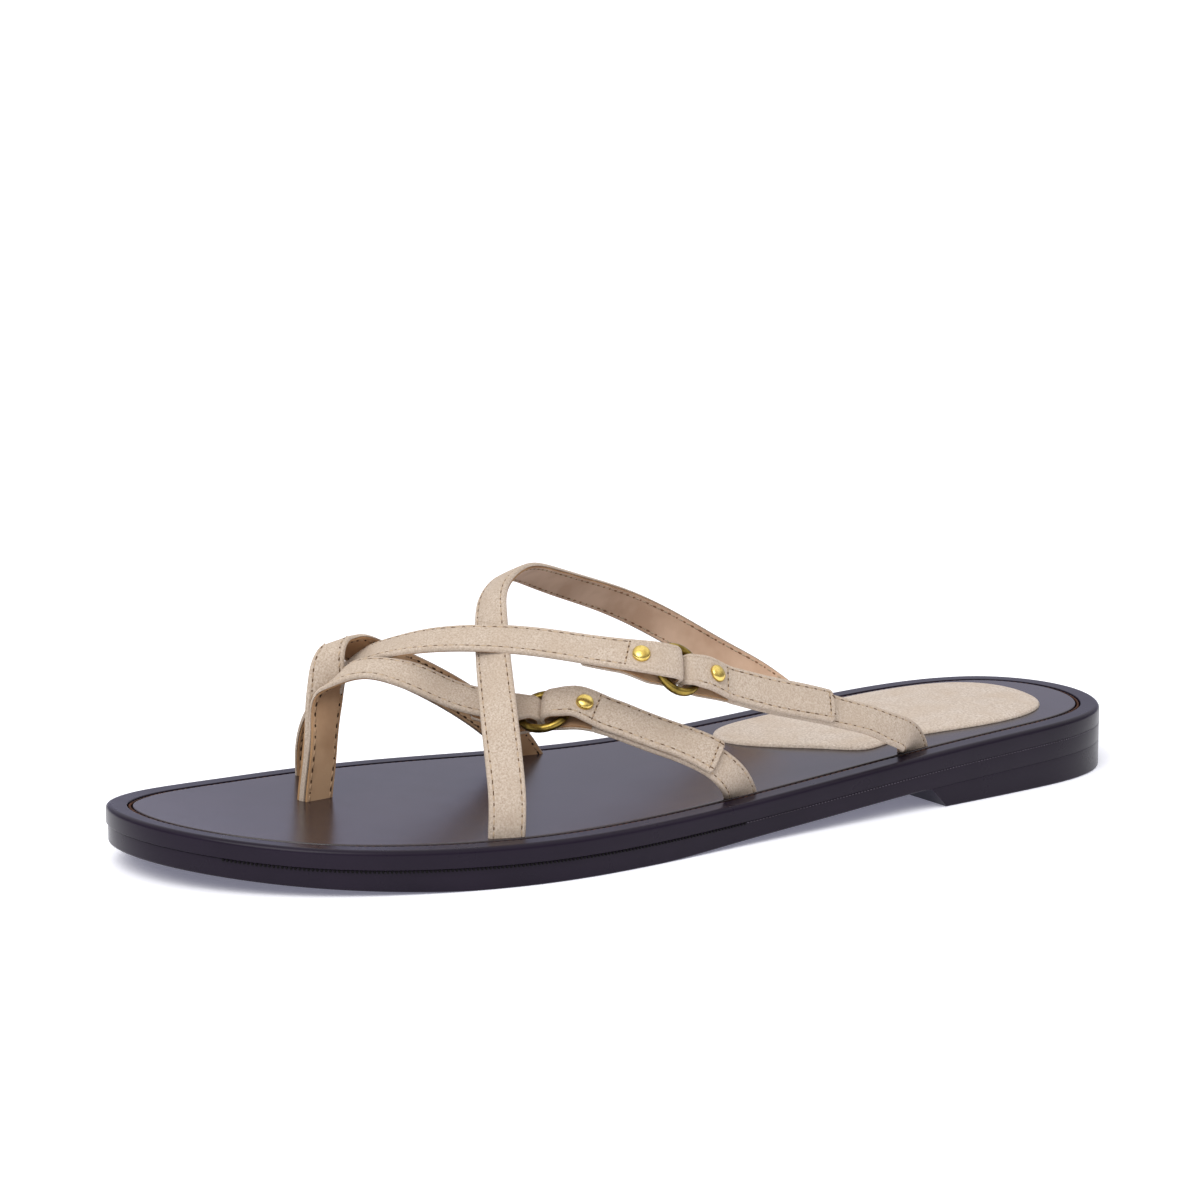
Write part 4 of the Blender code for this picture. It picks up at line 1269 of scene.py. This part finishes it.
# %% [markdown]
# ## Rings and rivets
# A ring is bent from round wire, so it is a torus, turned to its place. A rivet is half a ball pressed to a low dome,
# with a rim turned down onto the strap. It stands where its solid stands.

# %% Rings and rivets
RIVET_RADIUS = 1.95
RIVET_DOME = 1.0
RIVET_RIM = 0.35
SHANK_POINTS = 17


def make_ring(name, ring, node):
    deselect()
    bpy.ops.mesh.primitive_torus_add(
        major_radius=RING_RADIUS * MM,
        minor_radius=WIRE_RADIUS * MM,
        major_segments=72,
        minor_segments=18,
    )
    ob = bpy.context.object
    centre, axis, _ = ring
    ob.rotation_euler = Vector(axis).to_track_quat("Z", "Y").to_euler()
    ob.location = Vector(TABLE_SHIFT + centre) * MM
    return finish_piece(ob, name, [antique_brass], [node], angle=180.0)


def make_rivet(name, node):
    """Dome where its solid's head is; the points farthest from the solid's middle are the shank's end."""
    points = np.array([v.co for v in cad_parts[node].data.vertices]) / MM
    points = np.unique(points.round(3), axis=0)
    middle = points.mean(axis=0)
    far = np.argsort(np.linalg.norm(points - middle, axis=1))[-SHANK_POINTS:]
    out = unit(middle - points[far].mean(axis=0))
    top = middle + out * np.max((points - middle) @ out)
    deselect()
    bpy.ops.mesh.primitive_uv_sphere_add(segments=36, ring_count=20, radius=RIVET_RADIUS * MM)
    ob = bpy.context.object
    bpy.ops.object.mode_set(mode="EDIT")
    bpy.ops.mesh.select_all(action="SELECT")
    bpy.ops.mesh.bisect(plane_co=(0.0, 0.0, 0.0), plane_no=(0.0, 0.0, 1.0), clear_inner=True)
    bpy.ops.mesh.extrude_region_move(TRANSFORM_OT_translate={"value": (0.0, 0.0, -RIVET_RIM * MM)})
    bpy.ops.mesh.edge_face_add()
    bpy.ops.mesh.select_all(action="SELECT")
    bpy.ops.mesh.normals_make_consistent(inside=False)
    bpy.ops.object.mode_set(mode="OBJECT")
    for v in ob.data.vertices:
        if v.co.z > 0.0:
            v.co.z *= RIVET_DOME / RIVET_RADIUS
    ob.rotation_euler = Vector(out).to_track_quat("Z", "Y").to_euler()
    ob.location = Vector(top - RIVET_DOME * out) * MM
    return finish_piece(ob, name, [bright_brass], [node], angle=50.0)


make_ring("front_ring", RING_FRONT, "ring_front")
make_ring("back_ring", RING_BACK, "ring_back")
make_rivet("toe_rivet", "rivet_toe")
make_rivet("cross_rivet", "rivet_cross")
make_rivet("front_tab_rivet", "rivet_front")
make_rivet("back_tab_rivet", "rivet_back")

# %% [markdown]
# ## Floor and light
# A pale floor without an edge, lit from above by a soft sky that is darker near the horizon, so that the dark sole
# stays dark. Behind the sandal the horizon is brighter and bluish, as a lit wall would be, and the footbed mirrors
# it. The floor glows a little, which keeps the shadow pale. A large soft lamp on the camera's side lifts the straps.

# %% Floor and light
# Sizes and places on the stage in metres, lamp power in watts
FLOOR_SIZE = 120.0
SKY_STRENGTH = 1.2
LAMP_SIZE = 0.9
LAMP_POWER = 9.0
LAMP_PLACE = (0.55, -0.75, 0.85)
LAMP_AIM = (0.0, 0.0, 0.02)

deselect()
bpy.ops.mesh.primitive_plane_add(size=FLOOR_SIZE)
floor = bpy.context.object
floor.name = "floor"
paper = start(
    "studio_paper",
    Base_Color=rgb("FAFAFA"),
    Roughness=1.0,
    Specular_IOR_Level=0.0,
    Emission_Color=rgb("E4E4FF"),
    Emission_Strength=0.22,
)[0]
floor.data.materials.append(paper)

world = bpy.data.worlds.new("studio")
bpy.context.scene.world = world
world.use_nodes = True
tree = world.node_tree
direction = add(tree, "ShaderNodeTexCoord").outputs["Generated"]
height = add(tree, "ShaderNodeSeparateXYZ", {"Vector": direction}).outputs["Z"]
behind = add(
    tree,
    "ShaderNodeVectorMath",
    {0: direction, 1: (CAMERA_AIM[0], CAMERA_AIM[1], 0.0)},
    operation="DOT_PRODUCT",
)
horizon = add(tree, "ShaderNodeValToRGB", {"Fac": behind.outputs["Value"]}, ((0.1, "84848A"), (0.9, "AAAAC2")))
rise = add(tree, "ShaderNodeMapRange", {"Value": height, "From Min": 0.2, "From Max": 0.7})
sky = add(
    tree,
    "ShaderNodeMix",
    {0: rise.outputs["Result"], 6: horizon.outputs["Color"], 7: rgb("FFFFFF")},
    data_type="RGBA",
)
tree.links.new(sky.outputs[2], tree.nodes["Background"].inputs["Color"])
tree.nodes["Background"].inputs["Strength"].default_value = SKY_STRENGTH

lamp_data = bpy.data.lights.new("soft_lamp", "AREA")
lamp_data.shape = "DISK"
lamp_data.size = LAMP_SIZE
lamp_data.energy = LAMP_POWER
lamp = bpy.data.objects.new("soft_lamp", lamp_data)
lamp.location = LAMP_PLACE
lamp.rotation_euler = (Vector(LAMP_AIM) - lamp.location).to_track_quat("-Z", "Y").to_euler()
bpy.context.collection.objects.link(lamp)
bpy.context.scene.view_settings.view_transform = "Standard"
print("stage ready")
